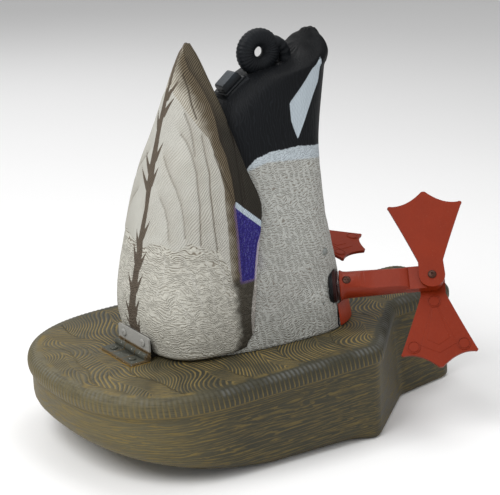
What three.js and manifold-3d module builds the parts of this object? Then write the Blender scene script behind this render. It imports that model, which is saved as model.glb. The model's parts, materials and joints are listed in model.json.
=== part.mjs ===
// Motorized feeding duck decoy: the tipped up rear half of a drake on a moulded float.
//
// Millimetres, +Z up. The origin is on the flat underside of the float, below the
// middle of the boat. +X runs along the float to its narrow tail, -X to the blunt
// front with the hinge, and -Y is the duck's left side. The deck slopes down a
// little towards the front, so everything above it is built square to the deck and
// the whole decoy is then turned by the deck's slope.

import * as THREE from 'three';
import { mergeVertices } from 'three/addons/utils/BufferGeometryUtils.js';
import Module from 'manifold-3d';

const wasm = await Module();
wasm.setup();

// Float
const DECK_SLOPE = THREE.MathUtils.degToRad(2.3);
const DECK_Z = 86;
const FLOAT_HALF_WIDTH = 116;
const FLOAT_FRONT_X = -236;
const FLOAT_ROUND_X = -120;
const FRONT_POWER = 0.8;
const FLOAT_TAIL_X = 165;
const TAIL_HALF_WIDTH = 39.5;
const NOTCH_START_X = 14;
const NOTCH_END_X = 89;
const NOTCH_HALF_WIDTH = 42;
const RIM_HEIGHT = 15;
const RIM_PROUD = 3.5;
const CHINE = 16;
const NOTCH_CHINE = 4;
const NOTCH_FLARE = 14;
const ROCKER_START_X = -95;
const ROCKER_RISE = 28;

// Duck body
const WALL = 4;
const REST_GAP = 0.4;
const BASE_Z = DECK_Z + REST_GAP;
const GAP = 0.3;
const BODY_SIDES = 40;
const LOBE_SIDES = 26;

// Hinge, a common two inch butt hinge
const HINGE_X = -160;
const HINGE_Z = 89.6;
const HINGE_LENGTH = 51;
const BARREL_RADIUS = 3.2;
const PIN_RADIUS = 1.4;
const LEAF = 1.6;
const LEAF_WIDTH = 16.5;
const HINGE_SCREW_Y = 15.5;
const HINGE_SCREW_RADIUS = 3.4;
const HINGE_SCREW_HEIGHT = 1.2;

// Legs and feet
const LEG_ROOT = new THREE.Vector3(13.8, -58, 123);
const LEG_PIVOT = new THREE.Vector3(81.1, -107.1, 128.6);
const LEFT_SPIN = THREE.MathUtils.degToRad(-43);
const RIGHT_SPIN = THREE.MathUtils.degToRad(103);
const LEG_RADIUS = 12;
const LEG_END_RADIUS = 10.6;
const TONGUE = 8;
const FOOT_LENGTH = 81;
const FOOT_HALF_SPAN = 34;
const SIDE_TOE = 0.84 * FOOT_LENGTH;
const FOOT_THICKNESS = 3.6;
const NECK_LENGTH = 13.5;
const FOOT_EYE = 11.5;
const SCREW_RADIUS = 2.3;
const SEAL_RADIUS = 14.5;
const SEAL_DEPTH = 6;
const SEAL_FRONT = 0.5;
const COLLAR_RADIUS = 13;
const COLLAR_END = SEAL_FRONT + 2.1;
const LEG_START = COLLAR_END + 0.3;
const SET_SCREW_RADIUS = 3.4;
const LEG_LENGTH = LEG_PIVOT.distanceTo(LEG_ROOT);

// Switch on the rump, the catch at the belly, and the small marks in the flank
const RUMP_SLOPE = THREE.MathUtils.degToRad(36);
const SWITCH_X = -50;
const SWITCH_Z = 301.2;
const SWITCH_TOP = 2;
const CAP_HEIGHT = 7.4;
const CAP_WIDTH = 12;
const APRON_HALF_WIDTH = 61.5;
const APRON_PROUD = 8.5;
const BELLY_X = 45;
const APRON_TOP_Z = 110;
const PLUG_X = 2;
const PLUG_Z = 157;
const PLUG_RADIUS = 3;
const PLUG_SEAT_Y = 57;
const PLUG_DEPTH = 2;
const FLANK_HOLE_X = -5;
const FLANK_HOLE_Z = 113;
const FLANK_HOLE_BOTTOM_Y = 62.8;

// Finishes
const finish = {
  float: { color: 0x4b4a3c, roughness: 0.75, metalness: 0 },
  duck: { color: 0xbdb6aa, roughness: 0.85, metalness: 0 },
  leg: { color: 0x9a3d24, roughness: 0.5, metalness: 0 },
  collar: { color: 0x5a1610, roughness: 0.45, metalness: 0 },
  rubber: { color: 0x16171a, roughness: 0.5, metalness: 0 },
  steel: { color: 0x8d8c86, roughness: 0.45, metalness: 0.8 },
  screw: { color: 0x3c332c, roughness: 0.5, metalness: 0.7 },
};

function material(name) {
  return new THREE.MeshStandardMaterial(finish[name]);
}

// Solids and their joins

function toSolid(geometry) {
  const bare = geometry.index ? geometry.clone() : geometry;
  for (const name of Object.keys(bare.attributes)) {
    if (name !== 'position') {
      bare.deleteAttribute(name);
    }
  }
  const merged = mergeVertices(bare, 1e-4);
  return new wasm.Manifold(new wasm.Mesh({
    numProp: 3,
    vertProperties: new Float32Array(merged.attributes.position.array),
    triVerts: new Uint32Array(merged.index.array),
  }));
}

function toGeometry(solid) {
  const mesh = solid.getMesh();
  const geometry = new THREE.BufferGeometry();
  geometry.setAttribute('position', new THREE.BufferAttribute(mesh.vertProperties, 3));
  geometry.setIndex(new THREE.BufferAttribute(mesh.triVerts, 1));
  geometry.computeVertexNormals();
  return geometry;
}

function fuse(geometries) {
  return geometries.map(toSolid).reduce((whole, next) => whole.add(next));
}

function piece(name, geometry, look) {
  const mesh = new THREE.Mesh(geometry, material(look));
  mesh.name = name;
  return mesh;
}

function box(x0, x1, y0, y1, z0, z1) {
  const geometry = new THREE.BoxGeometry(x1 - x0, y1 - y0, z1 - z0);
  geometry.translate((x0 + x1) / 2, (y0 + y1) / 2, (z0 + z1) / 2);
  return geometry;
}

// A round bar along X, from x0 to x1, which may taper.
function barX(x0, x1, r0, r1 = r0, sides = 24) {
  const geometry = new THREE.CylinderGeometry(r1, r0, x1 - x0, sides);
  geometry.rotateZ(-Math.PI / 2);
  geometry.translate((x0 + x1) / 2, 0, 0);
  return geometry;
}

function barY(y0, y1, r, sides = 16) {
  const geometry = new THREE.CylinderGeometry(r, r, y1 - y0, sides);
  geometry.translate(0, (y0 + y1) / 2, 0);
  return geometry;
}

// A low domed screw head standing on the plane y = 0, along -Y.
function domedHead(radius, height, sides = 14) {
  const profile = [new THREE.Vector2(0, 0), new THREE.Vector2(radius, 0)];
  const steps = 4;
  for (let i = 1; i < steps; i += 1) {
    const angle = (i / steps) * (Math.PI / 2);
    profile.push(new THREE.Vector2(radius * Math.cos(angle), height * (0.25 + 0.75 * Math.sin(angle))));
  }
  profile.push(new THREE.Vector2(0, height));
  const geometry = new THREE.LatheGeometry(profile, sides);
  geometry.rotateX(Math.PI);
  return toGeometry(toSolid(geometry));
}

// Closed skin over a stack of rings, each with the same number of points, that run
// anticlockwise seen from above and go up.
function loft(rings) {
  const count = rings[0].length;
  const positions = [];
  const index = [];
  for (const ring of rings) {
    for (const p of ring) {
      positions.push(p.x, p.y, p.z);
    }
  }
  for (let k = 0; k + 1 < rings.length; k += 1) {
    for (let i = 0; i < count; i += 1) {
      const a = k * count + i;
      const b = k * count + (i + 1) % count;
      index.push(a, b, b + count, a, b + count, a + count);
    }
  }
  const ends = [[rings[0], 0, true], [rings[rings.length - 1], (rings.length - 1) * count, false]];
  for (const [ring, start, down] of ends) {
    const middle = ring.reduce((sum, p) => sum.add(p), new THREE.Vector3()).divideScalar(count);
    const hub = positions.length / 3;
    positions.push(middle.x, middle.y, middle.z);
    for (let i = 0; i < count; i += 1) {
      const a = start + i;
      const b = start + (i + 1) % count;
      index.push(...(down ? [hub, b, a] : [hub, a, b]));
    }
  }
  const geometry = new THREE.BufferGeometry();
  geometry.setAttribute('position', new THREE.Float32BufferAttribute(positions, 3));
  geometry.setIndex(index);
  return geometry;
}

// Smooth value between stations, each a height z with named sizes.
function between(stations, name, z) {
  const last = stations.length - 1;
  if (z <= stations[0].z) {
    return stations[0][name];
  }
  if (z >= stations[last].z) {
    return stations[last][name];
  }
  const k = stations.findIndex((s) => s.z > z) - 1;
  const slope = (i) => {
    const a = stations[Math.max(i - 1, 0)];
    const b = stations[Math.min(i + 1, last)];
    return (b[name] - a[name]) / (b.z - a.z);
  };
  const a = stations[k];
  const b = stations[k + 1];
  const h = b.z - a.z;
  const t = (z - a.z) / h;
  const rise = b[name] - a[name];
  const m0 = slope(k) * h;
  const m1 = slope(k + 1) * h;
  return a[name] + t * (m0 + t * (3 * rise - 2 * m0 - m1 + t * (m0 + m1 - 2 * rise)));
}

function signedPower(value, power) {
  return Math.sign(value) * Math.abs(value) ** power;
}

// Float: the plan outline, then rings of it from the keel to the deck

// One corner of the plan, rounded with a fillet.
function roundedCorner(before, corner, after, radius, steps) {
  const toBefore = before.clone().sub(corner).normalize();
  const toAfter = after.clone().sub(corner).normalize();
  const half = Math.acos(toBefore.dot(toAfter)) / 2;
  const reach = radius / Math.tan(half);
  const start = corner.clone().addScaledVector(toBefore, reach);
  const end = corner.clone().addScaledVector(toAfter, reach);
  return new THREE.QuadraticBezierCurve(start, corner, end).getPoints(steps);
}

// The plan outline. The notches are smaller at the keel than at the deck, because the
// tail is broader at its root there: flare runs from 0 at the deck to 1 at the keel.
function floatPlan(flare) {
  const points = [];
  const frontSteps = 15;
  const front = FLOAT_ROUND_X - FLOAT_FRONT_X;
  for (let i = 0; i <= frontSteps; i += 1) {
    const u = (i / frontSteps) * (Math.PI / 2);
    const x = FLOAT_ROUND_X - front * Math.cos(u) ** FRONT_POWER;
    const y = FLOAT_HALF_WIDTH * Math.sin(u) ** FRONT_POWER;
    points.push(new THREE.Vector2(x, y));
  }
  const flank = new THREE.Vector2(FLOAT_ROUND_X, FLOAT_HALF_WIDTH);
  const shoulder = new THREE.Vector2(NOTCH_START_X, FLOAT_HALF_WIDTH + 1.5);
  const inner = new THREE.Vector2(NOTCH_END_X, NOTCH_HALF_WIDTH + NOTCH_FLARE * flare);
  const tail = new THREE.Vector2(FLOAT_TAIL_X, TAIL_HALF_WIDTH + flare);
  const stern = new THREE.Vector2(FLOAT_TAIL_X, 0);
  points.push(flank.clone().lerp(shoulder, 0.35), flank.clone().lerp(shoulder, 0.65));
  points.push(...roundedCorner(flank, shoulder, inner, 18, 4));
  points.push(shoulder.clone().lerp(inner, 0.5));
  points.push(...roundedCorner(shoulder, inner, tail, 26, 4));
  points.push(inner.clone().lerp(tail, 0.55));
  points.push(...roundedCorner(inner, tail, stern, 18, 3));
  points.push(stern);
  // The list so far is the +Y half; the whole runs anticlockwise seen from above.
  const other = points.slice(1, -1).map((p) => new THREE.Vector2(p.x, -p.y));
  return [...points.reverse(), ...other];
}

// The plan pulled in by a distance that depends on where the point is.
function insetPlan(plan, inset) {
  const count = plan.length;
  return plan.map((p, i) => {
    const before = plan[(i + count - 1) % count];
    const after = plan[(i + 1) % count];
    const along = after.clone().sub(before).normalize();
    const inward = new THREE.Vector2(-along.y, along.x);
    return p.clone().addScaledVector(inward, inset(p));
  });
}

// The chine is well rounded along the sides and tight in the notches and the tail.
function chineRadius(p) {
  const share = THREE.MathUtils.smoothstep(p.x, NOTCH_START_X - 30, NOTCH_START_X);
  return THREE.MathUtils.lerp(CHINE, NOTCH_CHINE, share);
}

function keelHeight(x) {
  const level = -x * Math.tan(DECK_SLOPE);
  if (x >= ROCKER_START_X) {
    return level;
  }
  const run = (ROCKER_START_X - x) / (ROCKER_START_X - FLOAT_FRONT_X);
  return level + ROCKER_RISE * Math.min(run, 1) ** 1.3;
}

function floatGeometry() {
  const deck = floatPlan(0);
  const keel = floatPlan(1);
  const creaseZ = DECK_Z - RIM_HEIGHT;
  const rings = [];
  // The flat bottom narrows to a line of points about its middle.
  for (const share of [0.35, 0.7]) {
    rings.push(insetPlan(keel, () => CHINE).map((p) => {
      const x = 30 + (p.x - 30) * share;
      return new THREE.Vector3(x, p.y * share, keelHeight(x));
    }));
  }
  // The rounded chine, as inset and rise in shares of its radius.
  for (const degrees of [0, 28, 58, 90]) {
    const angle = THREE.MathUtils.degToRad(degrees);
    const inset = (p) => chineRadius(p) * (1 - Math.sin(angle));
    rings.push(insetPlan(keel, inset).map((p) => {
      const rise = chineRadius(p) * (1 - Math.cos(angle));
      return new THREE.Vector3(p.x, p.y, keelHeight(p.x) + rise);
    }));
  }
  // The side up to the crease, the rim that stands proud of it, and the rounded edge.
  const bands = [
    [0, creaseZ - 1.5],
    [-RIM_PROUD + 1, creaseZ + 0.5],
    [-RIM_PROUD, creaseZ + 5],
    [-RIM_PROUD + 1.2, DECK_Z - 4.5],
    [1.5, DECK_Z - 1],
    [5, DECK_Z],
  ];
  for (const [inset, z] of bands) {
    rings.push(insetPlan(deck, () => inset).map((p) => new THREE.Vector3(p.x, p.y, z)));
  }
  return loft(rings);
}

// Duck body: heights with the back, the widest place, the belly and the half width

const trunk = [
  { z: BASE_Z, back: -149, mid: -15, belly: BELLY_X, half: 67 },
  { z: 112, back: -151, mid: -16, belly: 41, half: 66 },
  { z: 143, back: -149, mid: -17, belly: 35, half: 63 },
  { z: 182, back: -140, mid: -16, belly: 27, half: 58 },
  { z: 220, back: -125, mid: -14, belly: 24.3, half: 50 },
  { z: 240, back: -112, mid: -13, belly: 25.5, half: 45.5 },
  { z: 265, back: -92, mid: -18, belly: 31.5, half: 40 },
  { z: 290, back: -65, mid: -12, belly: 36.5, half: 36 },
  { z: 303, back: -47, mid: -4, belly: 38.5, half: 34 },
  { z: 311, back: -28, mid: 4, belly: 39.2, half: 32.5 },
  { z: 315, back: -4, mid: 16, belly: 39.4, half: 32 },
  { z: 324, back: 15, mid: 26, belly: 39.4, half: 29.5 },
  { z: 334, back: 24.5, mid: 31, belly: 38.5, half: 18.5 },
  { z: 341, back: 29.5, mid: 33, belly: 36.5, half: 6 },
];

const trunkLevels = [
  BASE_Z, 100, 115, 132, 152, 175, 197, 216, 234, 250, 264, 278, 290,
  300, 306, 311, 315, 319, 324, 330, 336, 341,
];

function trunkRing(z, shrink) {
  const back = between(trunk, 'back', z) + shrink;
  const mid = between(trunk, 'mid', z);
  const belly = between(trunk, 'belly', z) - shrink;
  const half = between(trunk, 'half', z) - shrink;
  const ring = [];
  for (let i = 0; i < BODY_SIDES; i += 1) {
    const u = (i / BODY_SIDES) * 2 * Math.PI;
    const c = Math.cos(u);
    const s = Math.sin(u);
    // The back is blunter than the belly.
    const reach = c > 0 ? belly - mid : mid - back;
    const x = mid + reach * signedPower(c, c > 0 ? 0.833 : 0.909);
    const y = half * signedPower(s, c > 0 ? 0.833 : 0.769);
    ring.push(new THREE.Vector3(x, y, z));
  }
  return ring;
}

// The folded wings: heights with the ridge over the back, and the place of the edge
const wings = [
  { z: 92, ridge: -151.5, edge: -77, half: 60.5 },
  { z: 120, ridge: -156, edge: -75, half: 62.5 },
  { z: 151, ridge: -152.5, edge: -71, half: 61.5 },
  { z: 190, ridge: -143.5, edge: -63, half: 58 },
  { z: 213, ridge: -138, edge: -60, half: 55 },
  { z: 242, ridge: -130.5, edge: -68, half: 47 },
  { z: 265, ridge: -123, edge: -72, half: 38 },
  { z: 287, ridge: -116.5, edge: -76, half: 28.5 },
  { z: 315, ridge: -107.6, edge: -82, half: 16 },
  { z: 334, ridge: -99.5, edge: -87, half: 8 },
  { z: 343, ridge: -94, edge: -90.5, half: 2.5 },
];

const wingLevels = [92, 108, 124, 142, 162, 182, 200, 214, 228, 244, 260, 276, 292, 308, 322, 334, 343];

function wingRing(z) {
  const ridge = between(wings, 'ridge', z);
  const edge = between(wings, 'edge', z);
  const half = between(wings, 'half', z);
  // Broad and blunt below, and narrower towards the tip.
  const blunt = THREE.MathUtils.smoothstep(z, 205, 320);
  const along = THREE.MathUtils.lerp(0.56, 0.9, blunt);
  const across = THREE.MathUtils.lerp(0.62, 0.87, blunt);
  const ring = [];
  for (let i = 0; i <= LOBE_SIDES; i += 1) {
    const u = Math.PI / 2 + (i / LOBE_SIDES) * Math.PI;
    const x = edge + (edge - ridge) * signedPower(Math.cos(u), along);
    ring.push(new THREE.Vector3(x, half * signedPower(Math.sin(u), across), z));
  }
  // The hollow inner side.
  ring.push(new THREE.Vector3(edge - 1, -half * 0.4, z));
  ring.push(new THREE.Vector3(edge - 1, half * 0.4, z));
  return ring;
}

// The curled feather: a ring on the rump, with a tapering root that runs into it
function curlGeometries() {
  const ring = new THREE.TorusGeometry(12.2, 8, 9, 20);
  ring.rotateX(Math.PI / 2);
  ring.scale(1.06, 0.85, 1);
  ring.translate(-21.5, 0, 326.5);
  const root = new THREE.CatmullRomCurve3([
    new THREE.Vector3(-12, 0, 334),
    new THREE.Vector3(-1, 0, 331),
    new THREE.Vector3(5, 0, 322),
    new THREE.Vector3(6, 0, 308),
  ]);
  const section = new THREE.Shape();
  section.absellipse(0, 0, 7, 6, 0, 2 * Math.PI, false, 0);
  const horn = new THREE.ExtrudeGeometry(section, { extrudePath: root, steps: 6, curveSegments: 5 });
  return [ring, horn];
}

// The leg's own frame: +X along the leg, and the foot along +Z before it is spun

function legFrame(side) {
  const root = LEG_ROOT.clone();
  const along = LEG_PIVOT.clone().sub(LEG_ROOT).normalize();
  root.y *= side;
  along.y *= side;
  const across = new THREE.Vector3(0, 0, 1).cross(along).normalize();
  const up = along.clone().cross(across);
  const matrix = new THREE.Matrix4().makeBasis(along, across, up);
  return { root, matrix };
}

function placedAtLeg(geometry, side) {
  const { root, matrix } = legFrame(side);
  geometry.applyMatrix4(matrix);
  geometry.translate(root.x, root.y, root.z);
  return geometry;
}

// The switch stands on the slope of the rump, in a frame with +X up the slope.
function switchFrame() {
  const frame = new THREE.Group();
  frame.position.set(SWITCH_X, 0, SWITCH_Z);
  frame.rotation.y = -RUMP_SLOPE;
  frame.updateMatrix();
  return frame;
}

function cutAt(x, y0, y1, z, radius, sides) {
  const geometry = barY(Math.min(y0, y1), Math.max(y0, y1), radius, sides);
  geometry.translate(x, 0, z);
  return toSolid(geometry);
}

function duckSolid() {
  const landing = box(-13.5, 13.5, -9.8, 9.8, -14, 0);
  landing.applyMatrix4(switchFrame().matrix);
  const skin = fuse([
    loft(trunkLevels.map((z) => trunkRing(z, 0))),
    loft(wingLevels.map(wingRing)),
    ...curlGeometries(),
    landing,
    // The flat landing for the hinge leaf.
    box(HINGE_X + BARREL_RADIUS + GAP, -120, -HINGE_LENGTH / 2 - 1, HINGE_LENGTH / 2 + 1, BASE_Z, 108.5),
  ]);
  const hollowLevels = [DECK_Z - 4, 105, 130, 165, 200, 235, 266];
  let hollow = toSolid(loft(hollowLevels.map((z) => trunkRing(z, WALL))));
  for (const side of [1, -1]) {
    // A boss behind each shaft seal stays solid.
    hollow = hollow.subtract(toSolid(placedAtLeg(barX(-18, 2, SEAL_RADIUS + 4), side)));
  }
  let duck = skin.subtract(hollow);
  for (const side of [1, -1]) {
    const radius = SEAL_RADIUS + GAP;
    const pocket = barX(-SEAL_DEPTH - GAP, 20, radius, radius, 24);
    const outside = side * 75;
    const hole = cutAt(FLANK_HOLE_X, side * FLANK_HOLE_BOTTOM_Y, outside, FLANK_HOLE_Z, 1.4, 10);
    duck = duck.subtract(toSolid(placedAtLeg(pocket, side)));
    duck = duck.subtract(cutAt(PLUG_X, side * PLUG_SEAT_Y, outside, PLUG_Z, PLUG_RADIUS + GAP, 14));
    duck = duck.subtract(hole);
  }
  return duck;
}

// The orange apron round the foot of the belly, a little clear of it. It stands
// further out in front than at its two ends, and leans in towards its top.
function apronSolid() {
  const share = [[BASE_Z + 0.6, 1], [92, 1], [100, 0.9], [APRON_TOP_Z - 3, 0.62], [APRON_TOP_Z, 0.38]];
  const outer = toSolid(loft(share.map(([z, proud]) => {
    const stretch = 1 + (proud * APRON_PROUD) / BELLY_X;
    return trunkRing(z, 0).map((p) => new THREE.Vector3(p.x > 0 ? p.x * stretch : p.x, p.y, z));
  })));
  const taller = [BASE_Z - 2, 92, 100, APRON_TOP_Z + 3];
  const body = toSolid(loft(taller.map((z) => trunkRing(z, -GAP - 0.1))));
  const band = toSolid(box(5, 70, -APRON_HALF_WIDTH, APRON_HALF_WIDTH, 80, 120));
  let apron = outer.subtract(body).intersect(band);
  for (const side of [1, -1]) {
    const clear = placedAtLeg(barX(-12, 40, SEAL_RADIUS + 1.2, SEAL_RADIUS + 1.2, 28), side);
    apron = apron.subtract(toSolid(clear));
  }
  return apron;
}

// Hinge: a leaf with its knuckles, the length of the barrel shared in three

function leafGeometry(knuckles, plate) {
  const third = HINGE_LENGTH / 6;
  let leaf = toSolid(plate);
  const spans = { middle: [[-third, third]], outer: [[-3 * third, -third], [third, 3 * third]] };
  const other = knuckles === 'middle' ? 'outer' : 'middle';
  for (const [y0, y1] of spans[other]) {
    leaf = leaf.subtract(toSolid(barY(y0 - GAP, y1 + GAP, BARREL_RADIUS + GAP)));
  }
  for (const [y0, y1] of spans[knuckles]) {
    leaf = leaf.add(toSolid(barY(y0 + GAP / 2, y1 - GAP / 2, BARREL_RADIUS)));
  }
  leaf = leaf.subtract(toSolid(barY(-HINGE_LENGTH, HINGE_LENGTH, PIN_RADIUS + GAP)));
  return toGeometry(leaf);
}

function hingeScrewHead() {
  return domedHead(HINGE_SCREW_RADIUS, HINGE_SCREW_HEIGHT);
}

function hingeGroup() {
  const group = new THREE.Group();
  group.position.set(HINGE_X, 0, HINGE_Z);
  const half = HINGE_LENGTH / 2;
  const upright = box(BARREL_RADIUS - LEAF, BARREL_RADIUS, -half, half, 0, LEAF_WIDTH);
  const flat = box(-LEAF_WIDTH, 0, -half, half, -BARREL_RADIUS, LEAF - BARREL_RADIUS);
  group.add(piece('hinge_leaf_body', leafGeometry('middle', upright), 'steel'));
  group.add(piece('hinge_leaf_float', leafGeometry('outer', flat), 'steel'));
  group.add(piece('hinge_pin', barY(-half - 0.6, half + 0.6, PIN_RADIUS, 14), 'steel'));
  for (const [tag, y] of [['1', -HINGE_SCREW_Y], ['2', HINGE_SCREW_Y]]) {
    const onBody = piece(`hinge_screw_body_${tag}`, hingeScrewHead(), 'screw');
    onBody.position.set(BARREL_RADIUS - LEAF - GAP, y, 10.4);
    onBody.rotation.z = -Math.PI / 2;
    const onFloat = piece(`hinge_screw_float_${tag}`, hingeScrewHead(), 'screw');
    onFloat.position.set(-9.4, y, LEAF - BARREL_RADIUS + GAP);
    onFloat.rotation.x = -Math.PI / 2;
    group.add(onBody, onFloat);
  }
  return group;
}

// Legs and feet, in the leg's own frame

function legSolid() {
  const neck = LEG_LENGTH - 17;
  const bar = toSolid(barX(LEG_START, neck, LEG_RADIUS, LEG_END_RADIUS, 28));
  // The scoop that flattens the bar towards its tongue, on both faces.
  const scoop = new THREE.Shape([
    new THREE.Vector2(LEG_START + 8, LEG_RADIUS + 2),
    new THREE.Vector2(LEG_START + 17, 8.2),
    new THREE.Vector2(neck - 9, 7.4),
    new THREE.Vector2(neck - 3, TONGUE / 2),
    new THREE.Vector2(neck + 3, TONGUE / 2),
    new THREE.Vector2(neck + 3, LEG_RADIUS + 2),
  ]);
  const cut = new THREE.ExtrudeGeometry(scoop, { depth: 2 * LEG_RADIUS + 4, bevelEnabled: false });
  cut.translate(0, 0, -LEG_RADIUS - 2);
  const otherCut = cut.clone().rotateX(Math.PI);
  const tongue = new THREE.Shape();
  tongue.moveTo(neck - 6, -FOOT_EYE + 1);
  tongue.lineTo(LEG_LENGTH, -FOOT_EYE + 1);
  tongue.absarc(LEG_LENGTH, 0, FOOT_EYE - 1, -Math.PI / 2, Math.PI / 2, false);
  tongue.lineTo(neck - 6, FOOT_EYE - 1);
  tongue.closePath();
  const flat = new THREE.ExtrudeGeometry(tongue, { depth: TONGUE, bevelEnabled: false, curveSegments: 10 });
  flat.translate(0, 0, -TONGUE / 2);
  flat.rotateX(Math.PI / 2);
  const hole = barY(-TONGUE, TONGUE, SCREW_RADIUS + 0.5, 14);
  hole.translate(LEG_LENGTH, 0, 0);
  const scooped = bar.subtract(toSolid(cut)).subtract(toSolid(otherCut));
  return scooped.add(toSolid(flat)).subtract(toSolid(hole));
}

// A webbed foot of three toes: a round eye, a short neck, and concave webs.
function footShape() {
  const shape = new THREE.Shape();
  const half = FOOT_HALF_SPAN;
  shape.absarc(0, 0, FOOT_EYE, Math.PI, 2 * Math.PI, false);
  shape.lineTo(FOOT_EYE - 0.5, NECK_LENGTH);
  shape.quadraticCurveTo(0.61 * half, 0.57 * SIDE_TOE, half - 1.5, SIDE_TOE - 2.2);
  shape.lineTo(half - 3, SIDE_TOE + 0.6);
  shape.quadraticCurveTo(0.48 * half, SIDE_TOE - 1, 2.2, FOOT_LENGTH - 0.8);
  shape.lineTo(-2.2, FOOT_LENGTH - 0.8);
  shape.quadraticCurveTo(-0.48 * half, SIDE_TOE - 1, 3 - half, SIDE_TOE + 0.6);
  shape.lineTo(1.5 - half, SIDE_TOE - 2.2);
  shape.quadraticCurveTo(-0.61 * half, 0.57 * SIDE_TOE, 0.5 - FOOT_EYE, NECK_LENGTH);
  shape.closePath();
  const eye = new THREE.Path();
  eye.absarc(0, 0, SCREW_RADIUS + 0.5, 0, 2 * Math.PI, true);
  shape.holes.push(eye);
  return shape;
}

function footGeometry() {
  const settings = { depth: FOOT_THICKNESS, bevelEnabled: false, curveSegments: 7 };
  const geometry = new THREE.ExtrudeGeometry(footShape(), settings);
  geometry.rotateX(Math.PI / 2);
  geometry.translate(LEG_LENGTH, -TONGUE / 2 - GAP, 0);
  return geometry;
}

// The screw through both feet and the tongue: domed head, shank and nut.
function footScrewGeometry() {
  const reach = TONGUE / 2 + GAP + FOOT_THICKNESS + GAP;
  const head = domedHead(5, 2.6);
  head.translate(0, -reach, 0);
  const shank = barY(-reach - 0.2, reach + 0.2, SCREW_RADIUS, 14);
  const nut = barY(reach, reach + 3.2, 4.6, 6);
  const screw = toGeometry(fuse([head, shank, nut]));
  screw.translate(LEG_LENGTH, 0, 0);
  return screw;
}

function legGroup(name, side, spin) {
  const { root, matrix } = legFrame(side);
  const mount = new THREE.Group();
  mount.position.copy(root);
  mount.quaternion.setFromRotationMatrix(matrix);
  const spun = new THREE.Group();
  spun.rotation.x = spin;
  mount.add(spun);
  const seal = barX(-SEAL_DEPTH, SEAL_FRONT, SEAL_RADIUS, SEAL_RADIUS, 24);
  mount.add(piece(`${name}_shaft_seal`, seal, 'rubber'));
  spun.add(piece(`${name}_collar`, barX(SEAL_FRONT + GAP, COLLAR_END, COLLAR_RADIUS), 'collar'));
  spun.add(piece(`${name}_leg`, toGeometry(legSolid()), 'leg'));
  // Foot one points up the frame on the near face, foot two down it on the far face.
  const upper = piece(`${name}_foot_1`, footGeometry(), 'leg');
  const lower = piece(`${name}_foot_2`, footGeometry(), 'leg');
  lower.geometry.rotateX(Math.PI);
  spun.add(upper, lower, piece(`${name}_foot_screw`, footScrewGeometry(), 'screw'));
  const head = domedHead(SET_SCREW_RADIUS, 1.2);
  head.translate(LEG_START + 6.6, -LEG_RADIUS - GAP, 0);
  spun.add(piece(`${name}_set_screw`, head, 'screw'));
  return mount;
}

// The switch: a flanged base with a rubber cap that rounds off at its two ends.
function switchGroup() {
  const frame = switchFrame();
  const base = box(-12, 12, -8.5, 8.5, GAP, SWITCH_TOP);
  const profile = new THREE.Shape([
    new THREE.Vector2(-10.5, 0),
    new THREE.Vector2(10.5, 0),
    new THREE.Vector2(9.6, 0.72 * CAP_HEIGHT),
    new THREE.Vector2(7.8, CAP_HEIGHT),
    new THREE.Vector2(-8.6, 0.93 * CAP_HEIGHT),
    new THREE.Vector2(-10, 0.6 * CAP_HEIGHT),
  ]);
  const edge = 1.2;
  const cap = new THREE.ExtrudeGeometry(profile, {
    depth: CAP_WIDTH - 2 * edge,
    bevelEnabled: true,
    bevelSize: -edge,
    bevelThickness: edge,
    bevelSegments: 1,
  });
  cap.translate(0, 0, edge - CAP_WIDTH / 2);
  cap.rotateX(Math.PI / 2);
  cap.translate(0, 0, SWITCH_TOP + GAP);
  frame.add(piece('switch_base', base, 'rubber'), piece('switch_cap', cap, 'rubber'));
  return frame;
}

// The whole decoy

const decoy = new THREE.Group();
decoy.rotation.y = -DECK_SLOPE;
decoy.add(piece('float_base', floatGeometry(), 'float'));
decoy.add(piece('duck_body', toGeometry(duckSolid()), 'duck'));
decoy.add(piece('belly_apron', toGeometry(apronSolid()), 'leg'));
decoy.add(hingeGroup());
decoy.add(switchGroup());
decoy.add(legGroup('left', 1, LEFT_SPIN));
decoy.add(legGroup('right', -1, RIGHT_SPIN));
for (const [name, side] of [['left', -1], ['right', 1]]) {
  const stub = barY(PLUG_SEAT_Y + GAP, PLUG_SEAT_Y + PLUG_DEPTH, PLUG_RADIUS, 14);
  const plug = piece(`${name}_flank_plug`, stub, 'steel');
  plug.position.set(PLUG_X, 0, PLUG_Z);
  if (side < 0) {
    plug.rotation.z = Math.PI;
  }
  decoy.add(plug);
}

const model = new THREE.Group();
model.add(decoy);

export default model;
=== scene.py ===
import json
import math

import bmesh
import bpy
import numpy as np
from mathutils import Matrix, Vector, kdtree, noise

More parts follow.
